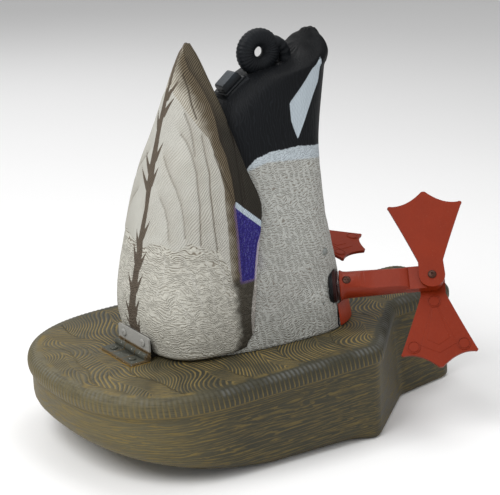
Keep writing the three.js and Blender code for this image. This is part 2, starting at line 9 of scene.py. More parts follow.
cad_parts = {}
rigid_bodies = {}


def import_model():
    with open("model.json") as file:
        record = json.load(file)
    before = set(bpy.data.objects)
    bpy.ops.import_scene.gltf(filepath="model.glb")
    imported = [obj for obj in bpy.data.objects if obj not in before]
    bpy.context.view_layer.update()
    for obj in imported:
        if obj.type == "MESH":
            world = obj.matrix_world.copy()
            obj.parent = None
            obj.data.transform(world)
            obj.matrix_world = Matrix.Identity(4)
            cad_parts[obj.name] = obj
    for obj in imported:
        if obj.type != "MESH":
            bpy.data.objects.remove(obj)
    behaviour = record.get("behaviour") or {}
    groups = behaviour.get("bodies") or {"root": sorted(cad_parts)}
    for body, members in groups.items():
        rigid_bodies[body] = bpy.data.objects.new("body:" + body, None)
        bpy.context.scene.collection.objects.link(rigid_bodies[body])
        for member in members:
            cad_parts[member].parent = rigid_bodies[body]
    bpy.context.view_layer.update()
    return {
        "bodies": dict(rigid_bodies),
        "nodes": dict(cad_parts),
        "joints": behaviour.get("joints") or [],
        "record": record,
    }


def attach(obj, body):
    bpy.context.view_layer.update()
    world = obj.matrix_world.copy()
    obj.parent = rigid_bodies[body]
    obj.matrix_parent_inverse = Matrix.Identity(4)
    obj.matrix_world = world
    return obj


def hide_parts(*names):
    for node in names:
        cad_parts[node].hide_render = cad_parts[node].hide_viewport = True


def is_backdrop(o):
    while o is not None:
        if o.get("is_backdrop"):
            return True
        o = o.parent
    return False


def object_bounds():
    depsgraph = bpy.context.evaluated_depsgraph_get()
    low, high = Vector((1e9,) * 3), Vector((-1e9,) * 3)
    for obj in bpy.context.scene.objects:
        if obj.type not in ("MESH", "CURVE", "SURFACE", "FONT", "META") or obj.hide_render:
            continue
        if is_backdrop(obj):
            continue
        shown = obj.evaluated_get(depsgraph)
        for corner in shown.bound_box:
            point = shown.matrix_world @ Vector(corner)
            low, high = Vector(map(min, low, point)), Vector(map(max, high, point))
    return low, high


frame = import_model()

bpy.ops.object.select_all(action="DESELECT")

# ---------------------------------------------------------------------------
# The studio. A plain pale floor under large soft lights, seen from the left and
# a little in front, as the decoy was photographed.

MM = 0.001


class Paint:
    """One socket of a paint's nodes. A sum written on it adds its Math nodes."""

    def __init__(self, tree, socket=None):
        self.tree = tree
        self.socket = socket

    def node(self, kind, settings=None, sockets=None, out=0):
        """Any node by type, with its settings first and then its sockets' values or links."""
        node = self.tree.nodes.new("ShaderNode" + kind)
        for name, value in (settings or {}).items():
            setattr(node, name, value)
        for name, value in (sockets or {}).items():
            if isinstance(value, Paint):
                self.tree.links.new(value.socket, node.inputs[name])
            else:
                node.inputs[name].default_value = value
        return Paint(self.tree, node.outputs[out])

    def sum(self, operation, first, second=None):
        values = {0: first} if second is None else {0: first, 1: second}
        return self.node("Math", {"operation": operation}, values)

    def __add__(self, other): return self.sum("ADD", self, other)
    def __radd__(self, other): return self.sum("ADD", other, self)
    def __sub__(self, other): return self.sum("SUBTRACT", self, other)
    def __rsub__(self, other): return self.sum("SUBTRACT", other, self)
    def __mul__(self, other): return self.sum("MULTIPLY", self, other)
    def __rmul__(self, other): return self.sum("MULTIPLY", other, self)
    def __truediv__(self, other): return self.sum("DIVIDE", self, other)


def cloud(place, scale, detail=2.0, rough=0.5, distortion=0.0):
    """Soft random shading from 0 to 1, of a given number of patches a unit."""
    sockets = {"Vector": place, "Scale": scale, "Detail": detail, "Roughness": rough,
               "Distortion": distortion}
    return place.node("TexNoise", {}, sockets)


def mixed(share, first, second):
    """One colour laid over another by a share from 0 to 1."""
    sockets = {0: share, 6: first, 7: second}
    return share.node("Mix", {"data_type": "RGBA"}, sockets, out=2)


def new_paint(name):
    material = bpy.data.materials.new(name)
    material.use_nodes = True
    return material, Paint(material.node_tree)


def object_paint(name):
    """A new paint, and the place of each point in its own piece, in metres."""
    material, paint = new_paint(name)
    return material, paint.node("TexCoord", out="Object")


def lay(material, color, roughness, height=None, relief=1.0, **fixed):
    """Puts a paint on its shader: colour, gloss and the fine relief, in millimetres."""
    tree = material.node_tree
    shader = tree.nodes["Principled BSDF"]
    paint = Paint(tree)
    for name, value in (("Base Color", color), ("Roughness", roughness)):
        if isinstance(value, Paint):
            tree.links.new(value.socket, shader.inputs[name])
        else:
            shader.inputs[name].default_value = value
    if height is not None:
        sockets = {"Height": height, "Strength": 1.0, "Distance": relief * MM}
        normal = paint.node("Bump", {}, sockets)
        tree.links.new(normal.socket, shader.inputs["Normal"])
    for name, value in fixed.items():
        shader.inputs[name.replace("_", " ")].default_value = value
    return material


CAMERA_PLACE = (-0.75369, -1.04404, 0.53643)
CAMERA_RIGHT = (0.82653490, -0.56288548, 0.0)
CAMERA_UP = (0.16357858, 0.24021913, 0.95683688)
CAMERA_BACK = (-0.53859271, -0.79085695, 0.29062550)
LENS, SENSOR = 108.0, 36.0


def laid_out(name, data):
    """Makes an object of a mesh, a light or a camera, and puts it in the scene."""
    obj = bpy.data.objects.new(name, data)
    bpy.context.collection.objects.link(obj)
    return obj


camera = laid_out("camera", bpy.data.cameras.new("camera"))
turn = Matrix((CAMERA_RIGHT, CAMERA_UP, CAMERA_BACK)).transposed()
camera.matrix_world = Matrix.Translation(CAMERA_PLACE) @ turn.to_4x4()
camera.data.lens = LENS
camera.data.sensor_width = SENSOR
camera.data.clip_start = 0.05
camera.data.clip_end = 30.0
bpy.context.scene.camera = camera

FLOOR_RADIUS, FLOOR_GREY, FLOOR_WHITE = 4.0, (0.93, 0.93, 0.93, 1), (0.97, 0.97, 0.97, 1)
bpy.ops.mesh.primitive_circle_add(vertices=96, radius=FLOOR_RADIUS, fill_type="NGON")
floor = bpy.context.object
floor.name = "studio_floor"
floor_paint, ground = object_paint("pale_floor")
lay(floor_paint, mixed(cloud(ground, 1.5), FLOOR_GREY, FLOOR_WHITE), 0.9)
floor.data.materials.append(floor_paint)
floor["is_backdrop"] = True

LAMPS_AIM, SKY_POWER = Vector((-0.02, 0, 0.15)), 0.42


def soft_light(name, azimuth, elevation, distance, size, power):
    """A square soft box that looks at the decoy. Azimuth 0 is in front of its left side."""
    light = bpy.data.lights.new(name, "AREA")
    light.energy = power
    light.size = size
    holder = laid_out(name, light)
    turn, rise = math.radians(azimuth), math.radians(elevation)
    flat = math.cos(rise)
    back = Vector((math.sin(turn) * flat, -math.cos(turn) * flat, math.sin(rise)))
    holder.location = LAMPS_AIM + back * distance
    holder.rotation_euler = back.to_track_quat("Z", "Y").to_euler()


soft_light("key_light", -80, 46, 1.6, 1.0, 18.5)
soft_light("fill_light", 20, 25, 1.9, 1.2, 4.5)
soft_light("top_light", 100, 78, 1.5, 1.0, 7)
soft_light("back_light", 175, 35, 2.0, 1.2, 7)
world = bpy.data.worlds.new("studio_air")
world.use_nodes = True
sky = world.node_tree.nodes["Background"]
sky.inputs["Color"].default_value = (1, 1, 1, 1)
sky.inputs["Strength"].default_value = SKY_POWER
bpy.context.scene.world = world
bpy.context.scene.view_settings.view_transform = "Standard"

# ---------------------------------------------------------------------------
# The float. A moulded boat shaped block with feather barbs on its deck, a grooved
# rim that stands proud, and wood grain on its sides, brushed with a dark olive wash
# over a gold coat that stays in the grooves.

DECK_SLOPE = math.radians(2.3)
DECK_TURN = Matrix.Rotation(-DECK_SLOPE, 4, "Y")
DECK_Z = 86.0
HALF_WIDTH = 116.0
FRONT_X, ROUND_X, FRONT_POWER = -236.0, -120.0, 0.8
NOTCH_START_X, NOTCH_END_X, NOTCH_HALF_WIDTH, NOTCH_FLARE = 14.0, 89.0, 42.0, 14.0
TAIL_X, TAIL_HALF_WIDTH = 165.0, 39.5
CHINE, NOTCH_CHINE = 16.0, 4.0
ROCKER_START_X, ROCKER_RISE = -95.0, 28.0
RIM_LOW_Z = 71.0
RIM_GROOVES = 240
FLOAT_COLUMNS = 4 * RIM_GROOVES
DECK_ROWS, DECK_EDGE, SPINE_HALF = 64, 6.2, 128
# How far the rim stands out at each height.
RIM_PROFILE = [(0.5, 70.0), (1.7, 70.6), (2.6, 71.4), (3.1, 72.6), (3.4, 74.5), (3.5, 76.5),
               (3.2, 78.8), (2.6, 81), (1.5, 82.9), (0, 84.3), (-1.8, 85.3), (-4, 85.85)]
QUILLS = np.array([-216.0, -193.0, -129.0, -72.0, -18.0, 30.0, 78.0, 120.0])
QUILL_REACH, BARB_PITCH, BARB_DEPTH, GROOVE_DEPTH = 2.4, 3.1, 0.25, 0.55
# The knots of the grain: how far back from the end of the outline, how high up, and how large.
KNOTS = [(690, 40.0, 16), (560, 46.0, 14)]
HINGE_BED_X, HINGE_BED_HALF_WIDTH, HINGE_BED_HALF_LENGTH = -168.3, 9.2, 26.5


def smooth(value, low, high):
    share = np.clip((value - low) / (high - low), 0, 1)
    return share * share * (3 - 2 * share)


def corner(before, turn, after, radius, steps):
    """A corner of the plan, rounded off."""
    before, turn, after = (np.array(p, float) for p in (before, turn, after))
    to_before = (before - turn) / np.linalg.norm(before - turn)
    to_after = (after - turn) / np.linalg.norm(after - turn)
    reach = radius / math.tan(math.acos(to_before @ to_after) / 2)
    start, end = turn + to_before * reach, turn + to_after * reach
    t = np.linspace(0, 1, steps)[:, None]
    return start * (1 - t) ** 2 + turn * 2 * t * (1 - t) + end * t ** 2


def float_plan(flare):
    """The outline seen from above, anticlockwise, at the deck (0) or the keel (1)."""
    u = np.linspace(0, math.pi / 2, 240)
    front = ROUND_X - FRONT_X
    curve = np.stack([ROUND_X - front * np.cos(u) ** FRONT_POWER,
                      HALF_WIDTH * np.sin(u) ** FRONT_POWER], 1)
    flank = np.array((ROUND_X, HALF_WIDTH))
    shoulder = np.array((NOTCH_START_X, HALF_WIDTH + 1.5))
    inner = np.array((NOTCH_END_X, NOTCH_HALF_WIDTH + NOTCH_FLARE * flare))
    tail = np.array((TAIL_X, TAIL_HALF_WIDTH + flare))
    stern = np.array((TAIL_X, 0.0))
    half = np.vstack([
        curve,
        flank + (shoulder - flank) * np.linspace(0.05, 0.85, 17)[:, None],
        corner(flank, shoulder, inner, 18, 30),
        shoulder + (inner - shoulder) * np.linspace(0.35, 0.65, 5)[:, None],
        corner(shoulder, inner, tail, 26, 30),
        inner + (tail - inner) * np.linspace(0.35, 0.65, 5)[:, None],
        corner(inner, tail, stern, 18, 30),
        stern[None, :],
    ])
    other = half[1:-1] * (1, -1)
    return np.vstack([half[::-1], other])


def lengths(points):
    """How far each point of a closed line is along it, and the whole length."""
    ahead = np.roll(points, -1, axis=0)
    pieces = np.linalg.norm(ahead - points, axis=1)
    return np.concatenate([[0], np.cumsum(pieces)[:-1]]), pieces.sum()


def spread(points, marks, share):
    """Points of a closed line at even shares of its marks."""
    loop = np.vstack([points, points[:1]])
    return np.stack([np.interp(share, marks, loop[:, k]) for k in range(loop.shape[1])], 1)


def inset(plan, amount):
    along = np.roll(plan, -1, axis=0) - np.roll(plan, 1, axis=0)
    along /= np.linalg.norm(along, axis=1)[:, None]
    return plan + np.stack([-along[:, 1], along[:, 0]], 1) * np.reshape(amount, (-1, 1))


def keel_height(x):
    run = np.clip((ROCKER_START_X - x) / (ROCKER_START_X - FRONT_X), 0, 1)
    return -x * math.tan(DECK_SLOPE) + ROCKER_RISE * run ** 1.3


def skin_mesh(name, rings):
    """A closed skin over a stack of rings that run anticlockwise and go up."""
    rows, count = rings.shape[:2]
    points = rings.reshape(-1, 3)
    i = np.arange(count)
    quads = []
    for k in range(rows - 1):
        low, high, after = k * count, (k + 1) * count, (i + 1) % count
        quads.append(np.stack([low + i, low + after, high + after, high + i], 1))
    faces = np.concatenate(quads).tolist()
    extra = []
    for row, down in ((0, True), (rows - 1, False)):
        hub = len(points) + len(extra)
        extra.append(rings[row].mean(axis=0))
        start = row * count
        ends = [(hub, start + (n + 1) % count, start + n) if down else
                (hub, start + n, start + (n + 1) % count) for n in range(count)]
        faces.extend(ends)
    mesh = bpy.data.meshes.new(name)
    mesh.from_pydata(np.vstack([points, extra]) * MM, [], faces)
    mesh.update()
    return mesh


def carry(mesh, name, values):
    """Stores a number or a place for each point of the mesh, for its paint."""
    values = np.asarray(values, np.float32)
    kind, key = ("FLOAT", "value") if values.ndim == 1 else ("FLOAT_VECTOR", "vector")
    layer = mesh.attributes.new(name, kind, "POINT")
    layer.data.foreach_set(key, values.ravel())


def settle(obj, body, slot_name, *nodes):
    """Turns a finished piece with the deck, gives it to its body and hides the CAD nodes it stands for.
    """
    obj.data.transform(DECK_TURN)
    obj.data.update()
    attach(obj, body)
    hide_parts(*nodes)


deck_plan, keel_plan = float_plan(0), float_plan(1)
marks, whole = lengths(deck_plan)
even = np.linspace(0, 1, FLOAT_COLUMNS, endpoint=False) * whole
marks = np.append(marks, whole)
deck_plan, keel_plan = spread(deck_plan, marks, even), spread(keel_plan, marks, even)
chine = CHINE + (NOTCH_CHINE - CHINE) * smooth(keel_plan[:, 0], NOTCH_START_X - 30, NOTCH_START_X)

# The float is drawn in rings from the middle of the keel to the spine of the deck.
SIDE, RIM, DECK = 0, 1, 2
KEEL_MIDDLE = 30
rings, zones = [], []


def float_ring(plan, z, zone):
    rings.append(np.column_stack([plan, np.broadcast_to(z, len(plan))]))
    zones.append(zone)


bottom = inset(keel_plan, CHINE)
for share in (0.05, 0.4, 0.75):
    x = KEEL_MIDDLE + (bottom[:, 0] - KEEL_MIDDLE) * share
    float_ring(np.column_stack([x, bottom[:, 1] * share]), keel_height(x), SIDE)
for angle in np.radians([0, 18, 36, 54, 72, 90]):
    plan = inset(keel_plan, chine * (1 - math.sin(angle)))
    float_ring(plan, keel_height(plan[:, 0]) + chine * (1 - math.cos(angle)), SIDE)
low_ring = rings[-1]
for share in np.linspace(0, 1, 13)[1:]:
    plan = low_ring[:, :2] * (1 - share) + deck_plan * share
    z = low_ring[:, 2] * (1 - share) + (RIM_LOW_Z - 1.2) * share
    float_ring(plan, z, SIDE)
for proud, z in RIM_PROFILE:
    float_ring(inset(deck_plan, -proud), z, RIM)
edge = inset(deck_plan, DECK_EDGE)
spine = np.column_stack([np.clip(edge[:, 0], -SPINE_HALF, SPINE_HALF), np.zeros(len(edge))])
for share in np.linspace(0, 0.985, DECK_ROWS):
    float_ring(edge * (1 - share) + spine * share, DECK_Z, DECK)
rings = np.array(rings)
zones = np.array(zones)[:, None]

# The barbs run out from quills that cross the deck, in long S curves.
x, y, z = np.moveaxis(rings, -1, 0)
bent = x + 6.5 * np.sin(y / 21.0 + x / 70.0) + 2.5 * np.sin(y / 8.5)
apart = bent[..., None] - QUILLS
ahead = np.where(apart > 0, apart, np.inf).min(-1)
behind = np.where(apart > 0, np.inf, -apart).min(-1)
away = np.where(QUILL_REACH * ahead <= behind, ahead, behind)
s_curve = 5.5 * np.sin(y / 11.5 + x / 30.0) + 3.5 * np.sin(y / 24.0 - x / 21.0) + 3.0 * np.sin(x / 10.5)
barb_phase = (0.85 * away + 0.5 * y + 0.8 * s_curve) / BARB_PITCH
around = np.arange(FLOAT_COLUMNS) * RIM_GROOVES / FLOAT_COLUMNS + (z - 78) * 0.035
deck_row = np.arange(len(rings))[:, None] - (len(rings) - DECK_ROWS)
on_deck = np.where(zones == DECK, smooth(deck_row, 0, 3), 0.0) + 0 * x
on_rim = np.where(zones == RIM, 1.0, 0.0) * (1 - smooth(z, 85.0, 86.0)) * smooth(z, 71.0, 73.5)
relief = -BARB_DEPTH * on_deck * (0.5 - 0.5 * np.cos(math.pi * barb_phase)) ** 2
rim_dip = GROOVE_DEPTH * on_rim * (0.5 + 0.5 * np.cos(2 * math.pi * around)) * smooth(z, 72, 80)
shaped = rings.copy()
shaped[..., 2] += relief - 0.5 * rim_dip * smooth(z, 80, 85)
for k in np.nonzero(zones[:, 0] == RIM)[0]:
    shaped[k, :, :2] = inset(rings[k, :, :2], rim_dip[k])

float_mesh = skin_mesh("float", shaped)


def with_hubs(values, low, high):
    """The values of the rings in a row, and those of the two hubs that close the skin."""
    flat = np.asarray(values, float).reshape(rings.shape[0] * rings.shape[1], -1)
    return np.vstack([flat, np.atleast_2d(low), np.atleast_2d(high)]).squeeze()


side_place = np.stack([even + 0 * x, z, 0 * x], -1)
carry(float_mesh, "spot", with_hubs(rings, (KEEL_MIDDLE, 0, 0), (0, 0, DECK_Z)))
carry(float_mesh, "along", with_hubs(side_place, (0, 0, 0), (0, DECK_Z, 0)))
carry(float_mesh, "barbs", with_hubs(barb_phase, 0, 0))
carry(float_mesh, "quill", with_hubs(away, 20, 20))
carry(float_mesh, "grooves", with_hubs(around, 0, 0))
carry(float_mesh, "deck", with_hubs(on_deck, 0, 1))
carry(float_mesh, "rim", with_hubs(np.where(zones == RIM, smooth(z, 70.6, 72.5), 0.0), 0, 0))


LAMP_GAIN = 1.2


def tone(red, green, blue):
    """A paint colour, from 0 to 255 as it looks under the lamps, for a shader."""
    def linear(value):
        value = value / 255
        value = value / 12.92 if value < 0.04045 else ((value + 0.055) / 1.055) ** 2.4
        return value / LAMP_GAIN
    return (linear(red), linear(green), linear(blue), 1.0)


def attribute(paint, name, vector=False):
    """A value that the mesh carries: a number, or a place in three parts."""
    return paint.node("Attribute", {"attribute_name": name}, out="Vector" if vector else "Fac")


def mottled(place, scale, first, second, detail=3.0):
    """Two tones that run into each other in soft patches."""
    return mixed(cloud(place, scale, detail), tone(*first), tone(*second))


def part(place, axis):
    return place.node("SeparateXYZ", {}, {0: place}, out=axis)


def wave(phase):
    """0 to 1 and back, once for every whole step of the phase."""
    return phase.sum("SINE", phase * (2 * math.pi)) * 0.5 + 0.5


def step(value, low, high):
    """A soft edge: 0 below low and 1 above high."""
    sockets = {"Value": value, "From Min": low, "From Max": high}
    return value.node("MapRange", {"interpolation_type": "SMOOTHSTEP"}, sockets)


def stretched(place, scale, move=(0, 0, 0)):
    sockets = {"Vector": place, "Scale": scale, "Location": move}
    return place.node("Mapping", {}, sockets)


float_paint, paint = new_paint("olive_wash_over_gold")
spot = attribute(paint, "spot", vector=True)
along = attribute(paint, "along", vector=True)
deck, rim = attribute(paint, "deck"), attribute(paint, "rim")
wobble = cloud(spot, 0.09, 2.0) * 0.5 + cloud(spot, 0.5, 1.0) * 0.22
barb = wave(attribute(paint, "barbs") + wobble + 0.25)
barb_line = step(barb, 0.5, 0.95)
quill = attribute(paint, "quill")
quill_line = 1 - step(quill, 0.3, 1.1)
faint = step(cloud(spot, 0.035, 2.0), 0.36, 0.6)
deck_gold = barb_line * (0.3 + 0.5 * faint)
deck_gold = deck_gold.sum("MAXIMUM", deck_gold, quill_line * 0.3)
groove = wave(attribute(paint, "grooves") + 0.25 + cloud(spot, 0.15, 1.0) * 0.25)
height = part(along, "Y")
rim_gold = step(groove, 0.68, 0.97) * step(height, 86, 72) * 0.75
grain_place = stretched(along, (0.012, 0.11, 0))
grain_phase = height * 0.36 + cloud(grain_place, 1.0, 4.0, 0.6, 0.6) * 6.5
for back, up, size in KNOTS:
    sockets = {0: stretched(along, (0.45, 1.0, 0)), 1: (0.45 * (whole - back), up, 0)}
    knot = paint.node("VectorMath", {"operation": "DISTANCE"}, sockets, out="Value")
    grain_phase = grain_phase + step(knot, size, 1) * 3.2
grain = wave(grain_phase)
broken = step(cloud(stretched(along, (0.05, 0.5, 0)), 1.0, 3.0), 0.38, 0.62)
side_gold = step(grain, 0.4, 0.8) * (0.3 + 0.7 * broken)
fine_grain = cloud(stretched(along, (0.06, 1.3, 0)), 1.0, 4.0, 0.7)
worn_end = step(part(spot, "X"), -90, -225)
side_gold = side_gold * (0.6 + 0.2 * worn_end) + step(fine_grain, 0.5, 0.72) * 0.3
bed = part(spot, "X").sum("ABSOLUTE", part(spot, "X") - HINGE_BED_X) - HINGE_BED_HALF_WIDTH
across = part(spot, "Y").sum("ABSOLUTE", part(spot, "Y")) - HINGE_BED_HALF_LENGTH
bed = bed.sum("MAXIMUM", bed, across)
bed_line = step(bed.sum("ABSOLUTE", bed + cloud(spot, 0.5) * 1.2 - 0.6), 1.3, 0.5) * deck
dark = mottled(spot, 0.02, (58, 58, 49), (74, 71, 56))
worn = step(part(spot, "X"), -120, -225) * 0.85 + step(cloud(spot, 0.018, 3.0), 0.45, 0.7) * 0.25 * deck
wash = mixed(worn, dark, tone(112, 104, 77))
wash = mixed(step(fine_grain, 0.42, 0.66) * 0.5, wash, tone(46, 46, 40))
gold_share = deck * deck_gold + (1 - deck) * (rim * rim_gold + (1 - rim) * side_gold)
crease = step(height, 68.8, 70.2) * step(height, 72.0, 70.8)
gold_share = gold_share.sum("MAXIMUM", gold_share, crease * 0.8)
color = mixed(deck * 0.35, wash, tone(52, 53, 47))
color = mixed(gold_share * 0.85, color, mixed(deck, tone(138, 118, 66), tone(158, 135, 78)))
color = mixed(bed_line * 0.6, color, tone(140, 106, 36))
# Silver on the crests of the rim's rounded top: worn paint, and also a painted highlight where the top
# edge catches the light.
silver_wear_and_highlight = rim * (1 - deck) * step(height, 80.5, 83.5) * (1 - step(height, 85.0, 86.0)) * (1 - groove)
color = mixed(silver_wear_and_highlight * step(cloud(spot, 0.03), 0.4, 0.6) * 0.3, color, tone(140, 142, 142))
rise = (1 - barb) * deck * 0.5 - quill_line * 0.3 * deck + (1 - deck) * (
    rim * (1 - groove) * 0.6 + (1 - rim) * (1 - side_gold) * 0.35)
rise = rise + cloud(spot, 1.2, 2.0) * 0.12
lay(float_paint, color, 0.5 + 0.2 * gold_share, rise, 0.5, Specular_IOR_Level=0.2)
float_mesh.materials.append(float_paint)
float_mesh.shade_smooth()
settle(laid_out("moulded_float", float_mesh), "float", "float_plastic", "float_base")

# ---------------------------------------------------------------------------
# The duck. One hollow moulded shell, tipped tail up: the trunk with the raised tail,
# the folded wings laid over the back, and the curled tail feather. Feather edges and
# downy ridges are in the mould, and the markings are painted by hand.

WALL = 4.0
BASE_Z = 86.4
# Heights, each with the back, the widest place, the belly and the half width.
TRUNK = np.array([
    (86.4, -149, -15, 45, 67), (112, -151, -16, 41, 66), (143, -149, -17, 35, 63),
    (182, -140, -16, 27, 58), (220, -125, -14, 24.3, 50), (240, -112, -13, 25.5, 45.5),
    (265, -92, -18, 31.5, 40), (290, -65, -12, 36.5, 36), (303, -47, -4, 38.5, 34),
    (311, -28, 4, 39.2, 32.5), (315, -4, 16, 39.4, 32), (324, 15, 26, 39.4, 29.5),
    (334, 24.5, 31, 38.5, 18.5), (341, 29.5, 33, 36.5, 6)])
# Heights, each with the ridge over the back, the wing's edge and the half width.
WINGS = np.array([
    (92, -151.5, -77, 60.5), (120, -156, -75, 62.5), (151, -152.5, -71, 61.5),
    (190, -143.5, -63, 58), (213, -138, -60, 55), (242, -130.5, -68, 47),
    (265, -123, -72, 38), (287, -116.5, -76, 28.5), (315, -107.6, -82, 16),
    (334, -99.5, -87, 8), (343, -94, -90.5, 2.5)])
TRUNK_COLUMNS, TRUNK_ROWS = 300, 136
WING_COLUMNS, WING_INNER, WING_ROWS, WING_FOOT = 212, 24, 190, 88.6


def between(stations, z):
    """The sizes at a height, on a smooth line through the stations."""
    z = min(max(z, stations[0][0]), stations[-1][0])
    k = min(int(np.searchsorted(stations[:, 0], z, side="right")) - 1, len(stations) - 2)

    def slope(i):
        a, b = stations[max(i - 1, 0)], stations[min(i + 1, len(stations) - 1)]
        return (b[1:] - a[1:]) / (b[0] - a[0])

    a, b = stations[k], stations[k + 1]
    h = b[0] - a[0]
    t = (z - a[0]) / h
    rise = b[1:] - a[1:]
    m0, m1 = slope(k) * h, slope(k + 1) * h
    return a[1:] + t * (m0 + t * (3 * rise - 2 * m0 - m1 + t * (m0 + m1 - 2 * rise)))


def signed_power(value, power):
    return np.sign(value) * np.abs(value) ** power


def evenly(points, count, closed=True):
    """The same line with evenly spaced points, and how far along it each one is."""
    loop = np.vstack([points, points[:1]]) if closed else points
    far = np.concatenate([[0], np.cumsum(np.linalg.norm(np.diff(loop, axis=0), axis=1))])
    at = np.linspace(0, far[-1], count, endpoint=not closed)
    return np.stack([np.interp(at, far, loop[:, k]) for k in range(2)], 1), at, far[-1]


def trunk_ring(z, shrink=0.0, count=TRUNK_COLUMNS):
    """The trunk at a height, from the belly round by the right side, and the way round."""
    back, mid, belly, half = between(TRUNK, z)
    back, belly, half = back + shrink, belly - shrink, half - shrink
    u = np.linspace(0, 2 * math.pi, 1600, endpoint=False)
    c, s = np.cos(u), np.sin(u)
    x = np.where(c > 0, mid + (belly - mid) * signed_power(c, 0.833),
                 mid + (mid - back) * signed_power(c, 0.909))
    y = np.where(c > 0, half * signed_power(s, 0.833), half * signed_power(s, 0.769))
    ring, at, whole = evenly(np.column_stack([x, y]), count)
    return np.column_stack([ring, np.full(count, z)]), np.minimum(at, whole - at)


def wing_ring(z):
    """Both wings at a height, over the ridge, and how far each point is from the ridge."""
    ridge, edge, half = between(WINGS, z)
    blunt = smooth(z, 205, 320)
    along, across = 0.56 + 0.34 * blunt, 0.62 + 0.25 * blunt
    u = math.pi / 2 + np.linspace(0, math.pi, 900)
    x = edge + (edge - ridge) * signed_power(np.cos(u), along)
    y = half * signed_power(np.sin(u), across)
    outer, at, whole = evenly(np.column_stack([x, y]), WING_COLUMNS, closed=False)
    inner_y = np.linspace(-half, half, WING_INNER + 2)[1:-1]
    inner_x = edge - np.minimum(1, (half - np.abs(inner_y)) / (0.6 * half))
    ring = np.vstack([outer, np.column_stack([inner_x, inner_y])])
    way = np.concatenate([at - whole / 2, np.full(WING_INNER, whole / 2)])
    return np.column_stack([ring, np.full(len(ring), z)]), way


def facing(grid):
    """Outward directions of a grid of rings."""
    around = np.roll(grid, -1, axis=1) - np.roll(grid, 1, axis=1)
    up = np.gradient(grid, axis=0)
    out = np.cross(around, up)
    return out / np.maximum(np.linalg.norm(out, axis=2, keepdims=True), 1e-9)


def stroke_gap(way, z, start, end):
    """Distance to one straight stroke, and which side of it each point is on."""
    (a0, z0), (a1, z1) = start, end
    da, dz = a1 - a0, z1 - z0
    t = np.clip(((way - a0) * da + (z - z0) * dz) / (da * da + dz * dz), 0, 1)
    return np.hypot(way - a0 - t * da, z - z0 - t * dz), np.sign((way - a0) * dz - (z - z0) * da)


def line_distance(way, z, line):
    """Distance to a line of (way round, height) points, below 0 on its ridge side."""
    best, side = np.full(way.shape, np.inf), np.ones(way.shape)
    for start, end in zip(line[:-1], line[1:]):
        gap, own_side = stroke_gap(way, z, start, end)
        side = np.where(gap < best, own_side, side)
        best = np.minimum(gap, best)
    return best * -side


def patch_distance(way, z, corners):
    """Distance to the edge of a closed patch, above 0 inside it."""
    best, inside = np.full(way.shape, np.inf), np.zeros(way.shape, bool)
    for (a0, z0), (a1, z1) in zip(corners, corners[1:] + corners[:1]):
        best = np.minimum(best, stroke_gap(way, z, (a0, z0), (a1, z1))[0])
        inside ^= ((z0 > z) != (z1 > z)) & (way < a0 + (z - z0) * (a1 - a0) / (z1 - z0 + 1e-9))
    return np.where(inside, best, -best)


def lumps(points, size, seed):
    """Soft random heights, about -1 to 1, for lumps of a size in millimetres."""
    flat = points.reshape(-1, 3) / size + seed
    return np.array([noise.noise(Vector(p)) for p in flat]).reshape(points.shape[:-1])


# The markings, as (way round from the ridge or belly, height). First the folded wings.
UPPER_EDGE = [(8, 330), (13, 323), (22, 315), (31, 306), (41, 294), (48, 284), (53, 275), (58, 266),
              (69, 253), (79, 237), (87, 219), (98, 189), (105, 169), (109, 150)]
PANEL_EDGE = [(8, 303), (16, 296), (26, 287), (37, 277), (47, 269), (56, 257), (63, 249), (69, 238),
              (74, 229), (78, 216), (83, 202), (89, 181), (95, 160)]
FEATHERS = [
    [(23, 273), (29, 268), (37, 258), (46, 244), (51, 231), (56, 218), (59, 205), (63, 186)],
    [(40, 272), (49, 256), (57, 243), (62, 228), (68, 212), (73, 196), (79, 179)],
    [(12, 254), (23, 242), (33, 231), (40, 220), (45, 208), (49, 193)],
    [(18, 222), (26, 214), (31, 205), (35, 190)],
    [(21, 289), (29, 278), (34, 269), (40, 257)],
    [(10, 319), (18, 308), (25, 295), (32, 285)],
    [(62, 280), (74, 262), (86, 240), (95, 218), (100, 200)],
    [(88, 240), (94, 228), (99, 216)],
    [(56, 257), (64, 247), (73, 236), (86, 218)],
]
# Raised barbs that sweep down over the downy part; their ridges are painted lighter, as a painted
# highlight.
PLUMES = [
    [(45, 185), (55, 170), (65, 155), (72, 138)], [(62, 187), (72, 170), (80, 150), (84, 130)],
    [(75, 182), (85, 165), (92, 145), (98, 125)], [(85, 166), (95, 150), (101, 133)],
    [(88, 122), (96, 107), (100, 92)], [(95, 120), (102, 105), (105, 94)],
    [(50, 150), (58, 135), (62, 120)], [(34, 180), (36, 160), (30, 140)],
    [(60, 160), (70, 142), (76, 122)], [(70, 120), (78, 108), (84, 94)],
]
# The two sides of the stripe down the ridge, and the (height, reach) of its barbs.
STRIPE_RIGHT = [(110, 2.5), (132, 2.5), (155, 3.2), (172, 4.2), (190, 3.4), (205, 4.2), (220, 4),
                (240, 4.5), (255, 2.5), (270, 0.6), (295, 1.0), (320, 0.4), (343, 0.5)]
STRIPE_LEFT = [(110, -12), (132, -8), (155, -5.7), (172, -5), (190, -3.4), (210, -1.4), (227, -3.6),
               (255, -5), (270, -5.7), (300, -4.5), (343, -3)]
RIGHT_BARBS = [(315, 8), (302, 9), (266, 7.5), (246, 9), (202.5, 10), (177, 10.5), (157.5, 10),
               (136, 8.5), (119, 8)]
LEFT_BARBS = [(290, -12), (255, -17), (242, -18), (192, -9), (180, -12.5), (155, -14.5), (132, -16),
              (118, -18)]
# The upper edge of the downy part.
DOWN_EDGE = [(0, 178), (14, 183), (30, 187), (44, 183), (55, 189), (68, 184), (80, 180),
             (92, 165), (100, 150)]
